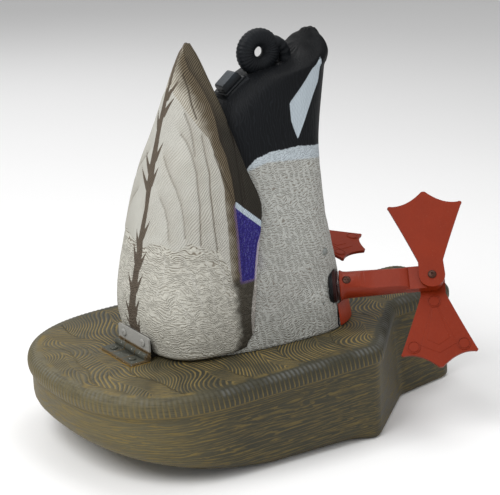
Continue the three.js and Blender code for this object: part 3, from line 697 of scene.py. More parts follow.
# Then the trunk, with the black rump, the white ring and the white patch on the tail.
BLACK_EDGE = [(0, 236), (37, 246), (67, 250.5), (95, 250), (110, 246), (120, 239), (132, 230)]
WHITE_EDGE = [(0, 225), (37, 235), (62, 239), (100, 242), (121, 237), (132, 226)]
# The blue mirror of the wing, its white bar, the brown band of painted shade below it along the wing's
# edge, and its limit.
WING_BLUE = [(88.5, 214.5), (119, 194), (119.5, 190), (117.7, 179), (119, 165), (120.3, 150.5),
             (107.8, 150.5), (97.6, 186)]
WING_BAR = [(88.3, 215.5), (119.5, 194.3)]
BAND_LEFT = [(-40, 112), (90, 101), (103, 107), (120, 108), (137, 107), (150, 101), (163, 94),
             (172, 96)]
BAND_TOP = 152
WING_LIMIT = [(90, 116), (110, 118.5), (130, 120), (143, 120.6), (152, 120.5), (165, 119), (179, 117.7),
              (190, 119.3), (200, 150)]
TAIL_PATCH = [(41, 321), (46, 312), (60, 298), (72, 287), (71, 272), (66, 256), (56, 270), (45, 289),
              (37.5, 300), (36, 310)]
FLANK_SLIT = [(70, 100.5), (73.5, 86)]
TAIL_MIDDLE_X, TAIL_RIBS = 22, 11
# How far the barbs of the stripe rise, and their half widths at the foot and the tip.
BARB_RISE, BARB_FOOT, BARB_TIP = 15.0, 2.4, 0.25


def barb_depth(way, z, core, tip, reach):
    """How deep inside a barb of the stripe each point is: it leaves the core and tapers."""
    foot = np.interp(tip - BARB_RISE, *zip(*core)) * 0.7
    across, up = reach - foot, z - tip + BARB_RISE
    t = np.clip(((way - foot) * across + up * BARB_RISE) / (across ** 2 + BARB_RISE ** 2), 0, 1)
    gap = np.hypot(way - foot - t * across, up - t * BARB_RISE)
    return BARB_FOOT * (1 - t) + BARB_TIP - gap


levels = np.linspace(BASE_Z, TRUNK[-1][0], TRUNK_ROWS)
trunk_grid, trunk_way = (np.array(v) for v in zip(*[trunk_ring(z) for z in levels]))
tz = trunk_grid[..., 2]
black = tz - np.interp(trunk_way, *zip(*BLACK_EDGE))
white = tz - np.interp(trunk_way, *zip(*WHITE_EDGE))
patch = patch_distance(trunk_way, tz, TAIL_PATCH)
trunk_out = facing(trunk_grid)
trunk_down = 1 - smooth(black, -4, 4)
from_tip_x, from_tip_y = trunk_grid[..., 0] - TAIL_MIDDLE_X, trunk_grid[..., 1]
ribs = np.sin(np.arctan2(from_tip_y, from_tip_x) * TAIL_RIBS)
ribs = ribs * smooth(tz, 300, 325) * smooth(np.hypot(from_tip_y, from_tip_x), 3, 12)
slit = np.abs(line_distance(trunk_way, tz, FLANK_SLIT)) + 20 * (trunk_grid[..., 1] > 0)
heave = (0.7 * lumps(trunk_grid, 22, 3.0) + 0.3 * lumps(trunk_grid, 7, 9.0)) * trunk_down
heave = heave + 0.5 * ribs - 0.5 * smooth(patch, -0.6, 0.8) - 0.9 * smooth(slit, 2.2, 1.0)
trunk_points = trunk_grid + trunk_out * np.minimum(heave - 0.45, 0.15)[..., None]
trunk_points[0] = trunk_grid[0]

wing_levels = np.linspace(WING_FOOT, WINGS[-1][0], WING_ROWS)
wing_grid, wing_way = (np.array(v) for v in zip(*[wing_ring(z) for z in wing_levels]))
wz, out_way = wing_grid[..., 2], np.abs(wing_way)
upper, panel = line_distance(out_way, wz, UPPER_EDGE), line_distance(out_way, wz, PANEL_EDGE)
stripe = np.minimum(np.interp(wz, *zip(*STRIPE_RIGHT)) - wing_way,
                    wing_way - np.interp(wz, *zip(*STRIPE_LEFT)))
for core, barbs in ((STRIPE_RIGHT, RIGHT_BARBS), (STRIPE_LEFT, LEFT_BARBS)):
    for tip, reach in barbs:
        stripe = np.maximum(stripe, barb_depth(wing_way, wz, core, tip, reach))
down = np.interp(out_way, *zip(*DOWN_EDGE)) - wz
groove, overlap, plume = (np.zeros(wz.shape) for _ in range(3))
for line in FEATHERS:
    gap = line_distance(out_way, wz, line)
    groove = np.maximum(groove, np.exp(-(gap / 0.8) ** 2))
    overlap = np.maximum(overlap, np.exp(-np.abs(gap) / 5) * (gap > 0))
for line in PLUMES:
    plume = np.maximum(plume, np.exp(-(line_distance(out_way, wz, line) / 0.9) ** 2))
spec = patch_distance(out_way, wz, WING_BLUE)
bar = np.abs(line_distance(out_way, wz, WING_BAR))
band = np.minimum(out_way - np.interp(wz, *zip(*BAND_LEFT)), BAND_TOP - wz)
past = out_way - np.interp(wz, *zip(*WING_LIMIT))
smooth_part = 1 - smooth(down, -3, 3)
shelf = 1.0 - 0.8 * smooth(panel, -0.2, 1.0) - 0.8 * smooth(upper, -0.2, 1.0)
valley = -0.6 * groove - 0.35 * overlap
swell = 0.3 * lumps(wing_grid * (1, 1, 0.6), 13, 5.0) + 0.15 * lumps(wing_grid, 6, 1.0) + 0.35 * plume
wing_heave = smooth_part * (shelf + valley) + (1 - smooth_part) * (swell + 0.1)
wing_heave = wing_heave * smooth(wz, 106, 118) * smooth(wz, 342.5, 336)
wing_heave -= 2.0 * smooth(wz, 91.5, WING_FOOT)
wing_points = wing_grid + facing(wing_grid) * wing_heave[..., None]


def given_paints(obj, paints, index=0):
    """Gives a piece its paints, and lays the one at an index over all of its faces."""
    mesh = obj.data
    mesh.materials.clear()
    for material in paints:
        mesh.materials.append(material)
    mesh.polygons.foreach_set("material_index", np.full(len(mesh.polygons), index, np.int32))
    return obj


def shell(name, points, index):
    return given_paints(laid_out(name, skin_mesh(name, points)), duck_paints, index)


def combine(target, tool, operation):
    """Joins, or cuts away, another closed solid, which is then used up."""
    change = target.modifiers.new("combine", "BOOLEAN")
    change.operation = operation
    change.solver = "MANIFOLD"
    change.object = tool
    bpy.context.view_layer.objects.active = target
    target.select_set(True)
    bpy.ops.object.modifier_apply(modifier=change.name)
    bpy.data.objects.remove(tool)
    target.select_set(False)


trunk_paint, paint = new_paint("painted_trunk")
place = attribute(paint, "spot", vector=True)
skin = attribute(paint, "skin", vector=True)
way, height = part(skin, "X"), part(skin, "Y")
bend = cloud(place, 0.03, 2.0) * 20 + cloud(place, 0.13, 2.0) * 8
ridges = wave((height + bend) / 2.0)
columns = wave(way / 5.5 + cloud(place, 0.05, 2.0) * 2.5) * 0.25
dashes = step(cloud(stretched(place, (0.5, 0.5, 0.6)), 1.0, 2.0) + columns, 0.48, 0.64)
dents = step(ridges, 0.62, 0.95) * dashes
grey = mottled(place, 0.03, (206, 208, 202), (186, 187, 182))
grey = mixed(dents * 0.7, grey, tone(108, 98, 84))
# Large soft darker patches of grey, laid at random: painted shade.
grey = mixed(step(cloud(place, 0.014, 2.0), 0.45, 0.75) * 0.35, grey, tone(150, 146, 140))
white_ring = mixed(dents * 0.25, tone(198, 208, 214), tone(160, 166, 170))
ring_edge = attribute(paint, "white") + (cloud(place, 0.35, 2.0) * 3.0 - 1.5)
color = mixed(step(ring_edge, -1.2, 1.2), grey, white_ring)
rump = attribute(paint, "black")
strands = wave(way * 0.42 + cloud(stretched(place, (0.1, 0.1, 0.03)), 1.0, 2.0) * 6.0)
night = mixed(step(strands, 0.6, 1.0) * 0.5, tone(17, 19, 22), tone(34, 37, 41))
# The black is painted darker towards the top of the tail: painted shade against the top lamp's light
# there.
night = mixed(step(part(place, "Z"), 285, 330) * 0.75, night, tone(5, 6, 8))
color = mixed(step(rump + cloud(place, 0.5, 2.0) * 2.4 - 1.2, -0.5, 0.6), color, night)
vane = wave(height * 0.22 - way * 0.32 + cloud(place, 0.1) * 0.8)
white_patch = mixed(step(vane, 0.7, 1.0) * 0.35, tone(196, 208, 216), tone(168, 180, 190))
color = mixed(step(attribute(paint, "patch"), -0.35, 0.45), color, white_patch)
overspray = step(way, 128, 150) * step(height, 150, 165) * step(height, 205, 192)
color = mixed(overspray * 0.3, color, tone(128, 96, 188))
quiet = 1 - step(rump, -1, 1)
rise = (1 - ridges) * dashes * quiet + strands * 0.25 * (1 - quiet) + cloud(place, 0.8, 3.0) * 0.3
color = mixed(step(attribute(paint, "slit"), 1.5, 0.8), color, tone(38, 40, 54))
lay(trunk_paint, color, 0.66 - 0.1 * (1 - quiet), rise, 0.55, Specular_IOR_Level=0.12)

wing_paint, paint = new_paint("painted_wings")
place = attribute(paint, "spot", vector=True)
skin = attribute(paint, "skin", vector=True)
way, height = part(skin, "X"), part(skin, "Y")
way = way.sum("ABSOLUTE", way)
panel_edge, upper_edge = attribute(paint, "panel"), attribute(paint, "upper")
groove_line, overlap_shade = attribute(paint, "groove"), attribute(paint, "overlap")
downy = step(attribute(paint, "down") + cloud(place, 0.12, 2.0) * 8 - 4, -1.5, 1.5)
dark_line = step(groove_line, 0.25, 0.85)
barbs = wave((way * 0.86 - height * 0.5 + cloud(place, 0.045, 2.0) * 8) / 2.05)
cream = mottled(place, 0.03, (206, 205, 196), (189, 187, 179))
patches = step(cloud(place, 0.05, 2.0), 0.35, 0.65)
cream = mixed(step(barbs, 0.5, 1.0) * patches * 0.4, cream, tone(150, 140, 122))
cream = mixed(overlap_shade * 0.35, cream, tone(140, 130, 114))
cream = mixed(dark_line * (0.35 + 0.45 * step(way, 40, 70)), cream, tone(112, 103, 90))
far_out = step(upper_edge + cloud(place, 0.12, 2.0) * 10 - 5, -17, -3)
light_hatch = mixed(far_out, tone(200, 196, 184), tone(122, 110, 88))
dark_hatch = mixed(far_out, tone(160, 152, 136), tone(56, 48, 37))
hatched = mixed(step(barbs, 0.35, 0.7), light_hatch, dark_hatch)
hatched = mixed(dark_line * 0.7, hatched, tone(70, 60, 48))
hatched = mixed(step(upper_edge, -7, -0.5) * 0.3, hatched, tone(84, 72, 58))
color = mixed(step(panel_edge, -0.2, 0.5), cream, hatched)
deep = mottled(stretched(place, (0.15, 0.15, 0.04)), 1.0, (40, 38, 32), (56, 52, 44))
tip = step(height, 268, 318)
deep = mixed(tip * 0.7, deep, tone(118, 107, 87))
deep = mixed(step(barbs, 0.45, 0.9) * (0.45 + 0.3 * tip), deep, tone(32, 28, 23))
deep = mixed(dark_line * 0.6, deep, tone(44, 38, 32))
deep = mixed(step(upper_edge, 5, 0.5) * 0.45, deep, tone(48, 41, 34))
color = mixed(step(upper_edge, -0.3, 0.5), color, deep)
bend = cloud(place, 0.035, 2.0) * 22 + cloud(place, 0.12, 1.0) * 7
outward = (way - 50).sum("MAXIMUM", way - 50, 0.0)
ridges = wave((height + bend + outward * outward * 0.008) / 2.05)
dashes = step(cloud(stretched(place, (0.25, 0.25, 0.55)), 1.0, 2.0), 0.34, 0.54)
dents = step(ridges, 0.6, 0.93) * dashes
wool = mottled(place, 0.03, (216, 214, 203), (196, 194, 183))
upper_down = step(attribute(paint, "down"), 26, 2)
wool = mixed(dents * (0.5 + 0.4 * upper_down), wool, tone(112, 101, 85))
plume_highlight = attribute(paint, "plume")
# The raised barbs are painted lighter on the wool and on the brown band: a painted highlight on their
# ridges.
wool = mixed(step(plume_highlight, 0.3, 0.9) * 0.4, wool, tone(214, 212, 204))
# Below the blue mirror, along the wing's edge where it meets the flank, a brown band of painted shade.
edge_shade_share = step(attribute(paint, "band") + cloud(place, 0.12, 2.0) * 8 - 4, -6, 3)
edge_shade_brown = mottled(stretched(place, (0.2, 0.2, 0.04)), 1.0, (56, 52, 43), (72, 66, 55))
edge_shade_brown = mixed(step(plume_highlight, 0.4, 0.9) * 0.5, edge_shade_brown, tone(150, 140, 122))
color = mixed(downy, color, wool)
color = mixed(edge_shade_share * 0.95, color, edge_shade_brown)
blue_edge = attribute(paint, "spec")
dots = wave(height / 2.3 + cloud(place, 0.2, 2.0) * 3) * wave(way / 3.4 + cloud(place, 0.12, 2.0) * 2.5)
violet = mixed(dots * 0.7, tone(42, 34, 112), tone(78, 74, 160))
streaks = step(cloud(stretched(place, (0.9, 0.9, 0.25)), 1.0, 3.0), 0.56, 0.7)
violet = mixed(streaks * 0.45, violet, tone(120, 126, 178))
flank_grey = mixed(dents * 0.5, tone(190, 186, 180), tone(120, 108, 92))
color = mixed(step(attribute(paint, "past"), -0.4, 0.5), color, flank_grey)
overspray = step(blue_edge + cloud(place, 0.3) * 2.0, -2.0, 0.4)
color = mixed(overspray * 0.3, color, tone(132, 100, 190))
color = mixed(step(blue_edge, -0.4, 0.5), color, violet)
bar_paint = step(attribute(paint, "bar"), 2.2, 1.5) * step(way, 87.5, 88.5)
color = mixed(bar_paint, color, tone(190, 204, 214))
stripe_edge = attribute(paint, "stripe") + cloud(place, 0.9, 1.0) * 0.6 - 0.3
line_brown = mottled(place, 0.15, (86, 76, 65), (106, 95, 82))
color = mixed(step(stripe_edge, -0.25, 0.35), color, line_brown)
quiet = 1 - step(blue_edge, -1, 1)
rise = downy * (1 - ridges) * dashes * quiet + (1 - downy) * (0.6 - barbs * 0.6 - dark_line * 0.4)
rise = rise + (1 - quiet) * dots * 0.5 + cloud(place, 0.8, 3.0) * 0.25
lay(wing_paint, color, 0.62, rise, 0.6, Specular_IOR_Level=0.15)

curl_paint, place = object_paint("black_curl")
soot = mottled(place, 180.0, (18, 20, 23), (31, 34, 38))
lay(curl_paint, soot, 0.5, cloud(place, 500.0, 3.0), 0.3, Specular_IOR_Level=0.15)
# The bare inside of the shell; the same dark paint is laid on the hinge's landing as painted shade.
inside_and_gap_shade_paint, place = object_paint("bare_shell_and_gap_shade")
lay(inside_and_gap_shade_paint, mottled(place, 90.0, (60, 58, 54), (78, 75, 70)), 0.6,
    cloud(place, 400.0, 3.0), 0.3)
duck_paints = (trunk_paint, wing_paint, curl_paint, inside_and_gap_shade_paint)
TRUNK_PAINT, WING_PAINT, CURL_PAINT, INSIDE_AND_GAP_SHADE = range(len(duck_paints))

trunk = shell("duck_shell", trunk_points, TRUNK_PAINT)
wings = shell("wing_shell", wing_points, WING_PAINT)

# The curl: a ring of ribbed feather standing on the rump, and its root down to the tail.
CURL_RADIUS, CURL_THICK, CURL_RIBS, CURL_X, CURL_Z = 12.2, 8.0, 34, -21.5, 326.5
CURL_ROOT = np.array([(-12, 0, 334), (-7, 0, 333.2), (-1, 0, 331), (3, 0, 327), (5, 0, 322),
                      (6, 0, 315), (6, 0, 306.0)])
ROOT_THICK, ROOT_RINGS = 6.2, 44
turn = np.linspace(0, 2 * math.pi, 204, endpoint=False)[:, None]
side = np.linspace(0, 2 * math.pi, 36, endpoint=False)[None, :]
radius = CURL_THICK * (1 - 0.022 * (1 + np.cos(turn * CURL_RIBS + 0.6 * np.sin(side))))
out_from = CURL_RADIUS + radius * np.cos(side)
curl_grid = np.stack([
    CURL_X + 1.06 * out_from * np.cos(turn),
    -0.85 * radius * np.sin(side),
    CURL_Z + out_from * np.sin(turn)], -1)
rows, count = curl_grid.shape[:2]
i, k = np.meshgrid(np.arange(count), np.arange(rows))
quads = np.stack([k * count + i, k * count + (i + 1) % count,
                  (k + 1) % rows * count + (i + 1) % count, (k + 1) % rows * count + i], -1)
curl_mesh = bpy.data.meshes.new("curl")
curl_mesh.from_pydata(curl_grid.reshape(-1, 3) * MM, [], quads.reshape(-1, 4).tolist())
curl = given_paints(laid_out("curl", curl_mesh), duck_paints, CURL_PAINT)

t = np.linspace(0, len(CURL_ROOT) - 1, ROOT_RINGS)
route = np.stack([np.interp(t, np.arange(len(CURL_ROOT)), CURL_ROOT[:, n]) for n in range(3)], 1)
for _ in range(6):
    route[1:-1] = (route[:-2] + 2 * route[1:-1] + route[2:]) / 4
ahead = np.gradient(route, axis=0)
ahead /= np.linalg.norm(ahead, axis=1)[:, None]
outward = np.cross(ahead, (0, 1.0, 0))
side = np.linspace(0, 2 * math.pi, 32, endpoint=False)
rib = 1 - 0.03 * (1 + np.cos(np.arange(len(route)) * 0.85))
across = (np.cos(side)[None, :, None] * outward[:, None, :]
          + np.sin(side)[None, :, None] * np.array((0, 1.1, 0)))
root_grid = route[:, None, :] + ROOT_THICK * rib[:, None, None] * across
curl_root = shell("curl_root", root_grid, CURL_PAINT)


def facing_out(obj):
    edit = bmesh.new()
    edit.from_mesh(obj.data)
    bmesh.ops.recalc_face_normals(edit, faces=edit.faces)
    edit.to_mesh(obj.data)
    edit.free()


def block(name, low, high, index=0):
    """A plain block in the deck's frame, for a landing or a cut."""
    bpy.ops.mesh.primitive_cube_add(size=1)
    obj = bpy.context.object
    obj.name = name
    size = Vector(high) - Vector(low)
    middle = Matrix.Translation((Vector(low) + size / 2) * MM)
    obj.data.transform(middle @ Matrix.Diagonal((*(size * MM), 1)))
    obj.select_set(False)
    return given_paints(obj, duck_paints, index)


finders = []
for obj in (trunk, wings):
    finder = kdtree.KDTree(len(obj.data.vertices))
    for vertex in obj.data.vertices:
        finder.insert(vertex.co, vertex.index)
    finder.balance()
    finders.append(finder)
for obj in (curl, curl_root):
    facing_out(obj)

# Flat landings are moulded on for the hinge's upright leaf and for the switch. The hinge's landing takes
# the dark inside paint, as painted shade in the gap behind the upright leaf.
SWITCH_PLACE, SWITCH_TILT = Vector((-50, 0, 301.2)), math.radians(36)
SWITCH_FRAME = Matrix.Translation(SWITCH_PLACE * MM) @ Matrix.Rotation(-SWITCH_TILT, 4, "Y")
hinge_landing = block("hinge_landing", (-156.5, -19, BASE_Z), (-120, 19, 104.8), INSIDE_AND_GAP_SHADE)
switch_landing = block("switch_landing", (-13.5, -9.8, -14), (13.5, 9.8, 0), CURL_PAINT)
switch_landing.data.transform(SWITCH_FRAME)
for tool in (wings, hinge_landing, switch_landing, curl, curl_root):
    combine(trunk, tool, "UNION")

# The trunk is hollow and open below. Pockets for the leg seals and holes for the plugs
# are cut in its flanks.
HOLLOW_LEVELS = (82, 105, 130, 165, 200, 235, 266)
LEG_ROOT, LEG_PIVOT = Vector((13.8, -58, 123)), Vector((81.1, -107.1, 128.6))
SEAL_RADIUS, SEAL_DEPTH, SEAL_FRONT, GAP = 14.5, 6.0, 0.5, 0.3
PLUG_X, PLUG_Z, SMALL_HOLE_X, SMALL_HOLE_Z = 2, 157, -5, 113
hollow = shell("hollow", np.array([trunk_ring(z, WALL, 64)[0] for z in HOLLOW_LEVELS]), INSIDE_AND_GAP_SHADE)


def leg_frame(side):
    """The leg's own frame: X along the leg and Z up; side 1 is the left leg and -1 the right."""
    root = Vector((LEG_ROOT.x, LEG_ROOT.y * side, LEG_ROOT.z))
    along = LEG_PIVOT - LEG_ROOT
    along = Vector((along.x, along.y * side, along.z)).normalized()
    across = Vector((0, 0, 1)).cross(along).normalized()
    turn = Matrix((along, across, along.cross(across))).transposed().to_4x4()
    return Matrix.Translation(root * MM) @ turn


def round_bar(name, radius, x0, x1, frame, vertices=48):
    """A round bar along X of a frame, for a cut."""
    bpy.ops.mesh.primitive_cylinder_add(vertices=vertices, radius=radius * MM, depth=(x1 - x0) * MM)
    obj = bpy.context.object
    obj.name = name
    lie = Matrix.Translation(((x0 + x1) / 2 * MM, 0, 0)) @ Matrix.Rotation(math.pi / 2, 4, "Y")
    obj.data.transform(frame @ lie)
    obj.select_set(False)
    return given_paints(obj, duck_paints)


for side in (1, -1):
    combine(hollow, round_bar("boss", SEAL_RADIUS + 4, -18, 2, leg_frame(side)), "DIFFERENCE")
combine(trunk, hollow, "DIFFERENCE")
for side in (1, -1):
    pocket = round_bar("pocket", SEAL_RADIUS + GAP, -SEAL_DEPTH - GAP, 20, leg_frame(side))
    combine(trunk, pocket, "DIFFERENCE")
    across = Matrix.Rotation(-side * math.pi / 2, 4, "Z")
    at_plug = Matrix.Translation(Vector((PLUG_X, 0, PLUG_Z)) * MM) @ across
    combine(trunk, round_bar("plug_seat", 3.3, 57, 75, at_plug, 28), "DIFFERENCE")
    at_hole = Matrix.Translation(Vector((SMALL_HOLE_X, 0, SMALL_HOLE_Z)) * MM) @ across
    combine(trunk, round_bar("small_hole", 1.4, 62.8, 75, at_hole, 20), "DIFFERENCE")

# Each point takes its place on the skin from the nearest point of the piece it came from.
duck_mesh = trunk.data
layers = {"spot": (trunk_grid, wing_grid),
          "skin": (np.stack([trunk_way, tz, 0 * tz], -1), np.stack([wing_way, wz, 0 * wz], -1))}
for name, values in (("black", black), ("white", white), ("patch", patch), ("slit", slit)):
    layers[name] = (values, 0 * wz)
for name, values in (("panel", panel), ("upper", upper), ("groove", groove), ("overlap", overlap),
                     ("plume", plume), ("spec", spec), ("bar", bar), ("band", band), ("past", past),
                     ("down", down), ("stripe", stripe)):
    layers[name] = (0 * tz, values)
owner = np.zeros(len(duck_mesh.vertices), np.int32)
for polygon in duck_mesh.polygons:
    if polygon.material_index == WING_PAINT:
        owner[list(polygon.vertices)] = 1
nearest = np.array([finders[owner[v.index]].find(v.co)[1] for v in duck_mesh.vertices])
for name, sources in layers.items():
    picked = []
    for source in sources:
        flat = source.reshape(source.shape[0] * source.shape[1], -1)
        flat = np.vstack([flat, flat[:1], flat[-1:]])
        picked.append(flat[np.minimum(nearest, len(flat) - 1)])
    carry(duck_mesh, name, np.where(owner[:, None] == 1, picked[1], picked[0]).squeeze())
duck_mesh.shade_smooth()
settle(trunk, "duck", "duck_plastic", "duck_body")

# ---------------------------------------------------------------------------
# The legs. Each is a brick red moulded bar that turns on a motor shaft, scooped flat
# towards its end, with a set screw at the root and a dark red collar behind it.

LEG_LENGTH = (LEG_PIVOT - LEG_ROOT).length
SPINS = {"left": (1, math.radians(-43)), "right": (-1, math.radians(103))}
COLLAR_END = SEAL_FRONT + 2.1
LEG_START, NECK = COLLAR_END + 0.3, LEG_LENGTH - 17
TONGUE, EYE, EYE_HOLE = 8.0, 11.5, 2.8
SET_SCREW_X = LEG_START + 6.6
ACROSS_LEG = Matrix.Rotation(-math.pi / 2, 4, "Z")


def place_leg(obj, name, spins=True):
    """Takes a piece from the leg's own frame, in millimetres, to its place on the duck."""
    side, spin = SPINS[name]
    turn = Matrix.Rotation(spin, 4, "X") if spins else Matrix.Identity(4)
    obj.data.transform(leg_frame(side) @ turn @ Matrix.Scale(MM, 4))
    obj.data.update()


def finished(name, edit):
    """Makes the faces of a mesh in the making look outwards, and lays it out."""
    bmesh.ops.recalc_face_normals(edit, faces=edit.faces)
    mesh = bpy.data.meshes.new(name)
    edit.to_mesh(mesh)
    edit.free()
    return laid_out(name, mesh)


def spun_profile(name, profile, sides=64):
    """A turned piece about X, from (x, radius) points that start and end on the axis."""
    angle = np.linspace(0, 2 * math.pi, sides, endpoint=False)
    edit = bmesh.new()
    rows = []
    for x, radius in profile:
        if radius == 0:
            rows.append([edit.verts.new((x, 0, 0))])
        else:
            rows.append([edit.verts.new((x, radius * math.cos(t), radius * math.sin(t)))
                         for t in angle])
    for low, high in zip(rows[:-1], rows[1:]):
        for n in range(sides):
            m = (n + 1) % sides
            corners = [low[n % len(low)], low[m % len(low)], high[m % len(high)], high[n % len(high)]]
            corners = list(dict.fromkeys(corners))
            if len(corners) > 2:
                edit.faces.new(corners)
    return finished(name, edit)


def slab(name, outline, y0, y1):
    """A flat plate between two values of Y, cut to an outline of (x, z) points."""
    edit = bmesh.new()
    front = [edit.verts.new((x, y0, z)) for x, z in outline]
    back = [edit.verts.new((x, y1, z)) for x, z in outline]
    edit.faces.new(front)
    edit.faces.new(back[::-1])
    count = len(front)
    for n in range(count):
        edit.faces.new((front[n], back[n], back[(n + 1) % count], front[(n + 1) % count]))
    return finished(name, edit)


def ease_edges(obj, width, segments=2, angle=35):
    """Rounds the sharp edges of a piece, in its own units, and smooths its faces."""
    ease = obj.modifiers.new("ease", "BEVEL")
    ease.width = width
    ease.segments = segments
    ease.limit_method = "ANGLE"
    ease.angle_limit = math.radians(angle)
    bpy.context.view_layer.objects.active = obj
    bpy.ops.object.select_all(action="DESELECT")
    obj.select_set(True)
    bpy.ops.object.modifier_apply(modifier=ease.name)
    bpy.ops.object.shade_smooth_by_angle(angle=math.radians(40))
    even = obj.modifiers.new("even", "WEIGHTED_NORMAL")
    even.keep_sharp = True
    bpy.ops.object.modifier_apply(modifier=even.name)
    obj.select_set(False)


def arc_points(cx, cy, radius, start, end, steps):
    t = np.radians(np.linspace(start, end, steps))
    return np.column_stack([cx + radius * np.cos(t), cy + radius * np.sin(t)])


def curve_points(a, b, c, steps):
    t = np.linspace(0, 1, steps)[:, None]
    a, b, c = (np.array(p, float) for p in (a, b, c))
    return a * (1 - t) ** 2 + b * 2 * t * (1 - t) + c * t ** 2


def copied(obj, name):
    return laid_out(name, obj.data.copy())


leg_paint, place = object_paint("brick_plastic")
brick = mottled(place, 45.0, (142, 42, 6), (126, 35, 5))
brick = mixed(step(cloud(place, 260.0, 4.0, 0.7), 0.55, 0.75) * 0.2, brick, tone(156, 66, 30))
brick = mixed(step(cloud(place, 900.0, 1.0), 0.7, 0.78) * 0.25, brick, tone(170, 104, 76))
lay(leg_paint, brick, 0.34 + cloud(place, 120.0, 3.0) * 0.2, cloud(place, 350.0, 3.0), 0.1,
    Specular_IOR_Level=0.2)
rubbed_paint = leg_paint.copy()
rubbed_paint.name = "rubbed_brick_plastic"
rubbed_paint.node_tree.nodes["Principled BSDF"].inputs["Specular IOR Level"].default_value = 0.32

root_line = [(0, 0), (0, 12.4), (0.4, 13.2), (1.0, 13.5), (1.8, 13.2), (2.8, 12.6), (4.2, 12.1),
             (7, 11.8), (24, 11.5)]
leg = spun_profile("leg", [(LEG_START + x, radius) for x, radius in root_line]
                   + [(NECK - 3, 10.7), (NECK, 10.2), (NECK, 0)])
scoop_side = np.vstack([
    [(LEG_START + 11.6, 16)],
    curve_points((LEG_START + 12, 12.1), (LEG_START + 20, 8.3), (LEG_START + 31, 7.9), 16),
    [(NECK - 12, 7.4)], curve_points((NECK - 10, 7.2), (NECK - 4, 6.8), (NECK - 3, 4.1), 8),
    [(NECK + 4, 4.1), (NECK + 4, 16)]])
for flip in (1, -1):
    cutter = slab("scoop", scoop_side * (1, flip), -16, 16)
    # The cutter's profile lies in the plane across the leg, so it is stood on its side.
    cutter.data.transform(Matrix.Rotation(math.pi / 2, 4, "X"))
    facing_out(cutter)
    combine(leg, cutter, "DIFFERENCE")
tongue_line = np.vstack([[(NECK - 6, -EYE + 1)], arc_points(LEG_LENGTH, 0, EYE - 1, -90, 90, 28),
                         [(NECK - 6, EYE - 1)]])
combine(leg, slab("tongue", tongue_line, -TONGUE / 2, TONGUE / 2), "UNION")
eye_hole = slab("eye_hole", arc_points(LEG_LENGTH, 0, EYE_HOLE, 0, 348.75, 32), -12, 12)
combine(leg, eye_hole, "DIFFERENCE")
recess = round_bar("recess", 3.9, 10.9, 14, Matrix.Identity(4), 32)
recess.data.transform(Matrix.Scale(1 / MM, 4))
recess.data.transform(Matrix.Translation((SET_SCREW_X, 0, 0)) @ ACROSS_LEG)
combine(leg, recess, "DIFFERENCE")
ease_edges(leg, 0.45, 2, 38)
given_paints(leg, [rubbed_paint])
for name in SPINS:
    one = copied(leg, name + "_leg_bar")
    place_leg(one, name)
    settle(one, name + "_leg_set", "leg_plastic", name + "_leg")
bpy.data.objects.remove(leg)

# ---------------------------------------------------------------------------
# The feet. Two thin webbed plates a leg, one up and one down, screwed to the two faces
# of its tongue. The inner face keeps the mould's round bosses and stepped ridges.

FOOT, HALF_SPAN, FOOT_PLATE, FOOT_NECK = 81.0, 34.0, 3.6, 13.5
TOE, SHRINK = 0.84 * FOOT, (0.985, 0.995)
# The ridges that step up towards the toe: their corners, their points and their heights.
RIDGES = [(15.2, 60.0, 67.8, -0.35), (9.7, 54.8, 60.6, -0.02)]
BOSSES, BOSS_RADIUS, RING_RADIUS, RING_WIDTH = [(0, 20), (21.5, 61), (-21.5, 61)], 5.7, 4.9, 0.5


def own_block(name, size, middle):
    bpy.ops.mesh.primitive_cube_add(size=1, location=(0, 0, 0))
    obj = bpy.context.object
    obj.name = name
    obj.data.transform(Matrix.Translation(middle) @ Matrix.Diagonal((*size, 1)))
    obj.select_set(False)
    return obj


half_web = np.vstack([
    curve_points((EYE - 0.5, FOOT_NECK), (0.61 * HALF_SPAN, 0.57 * TOE),
                 (HALF_SPAN - 1.5, TOE - 2.2), 20),
    curve_points((HALF_SPAN - 0.6, TOE - 0.8), (HALF_SPAN - 1.2, TOE + 0.8),
                 (HALF_SPAN - 3, TOE + 0.6), 4),
    curve_points((HALF_SPAN - 4, TOE + 0.3), (0.48 * HALF_SPAN, TOE - 1), (2.6, FOOT - 1.2), 18)])
web = np.vstack([
    arc_points(0, 0, EYE, 180, 360, 30), half_web,
    curve_points((2.0, FOOT - 0.5), (0, FOOT + 0.3), (-2.0, FOOT - 0.5), 5),
    half_web[::-1] * (-1, 1)])
foot = slab("foot", web * SHRINK, -FOOT_PLATE, -0.7)
for corner_x, corner_z, point_z, high in RIDGES:
    half = np.array([(corner_x * 0.2, 26), (corner_x, corner_z)])
    ridge = np.vstack([half, [(0, point_z)], half[::-1] * (-1, 1)])
    combine(foot, slab("step_ridge", ridge, -1.2, high), "UNION")
for x, z in BOSSES:
    combine(foot, slab("boss", arc_points(x, z, BOSS_RADIUS, 0, 350, 36), -1.2, -0.08), "UNION")
    ring = slab("groove", arc_points(x, z, RING_RADIUS, 0, 350, 36), -1.2, 1)
    core = slab("core", arc_points(x, z, RING_RADIUS - RING_WIDTH, 0, 350, 36), -3, 3)
    combine(ring, core, "DIFFERENCE")
    combine(ring, own_block("floor", (14, 2, 14), (x, -1.6, z)), "DIFFERENCE")
    combine(foot, ring, "DIFFERENCE")
combine(foot, slab("foot_eye", arc_points(0, 0, EYE_HOLE, 0, 348.75, 32), -9, 9), "DIFFERENCE")
ease_edges(foot, 0.25, 2, 50)
foot.data.transform(Matrix.Translation((LEG_LENGTH, -TONGUE / 2 - GAP, 0)))
given_paints(foot, [leg_paint])
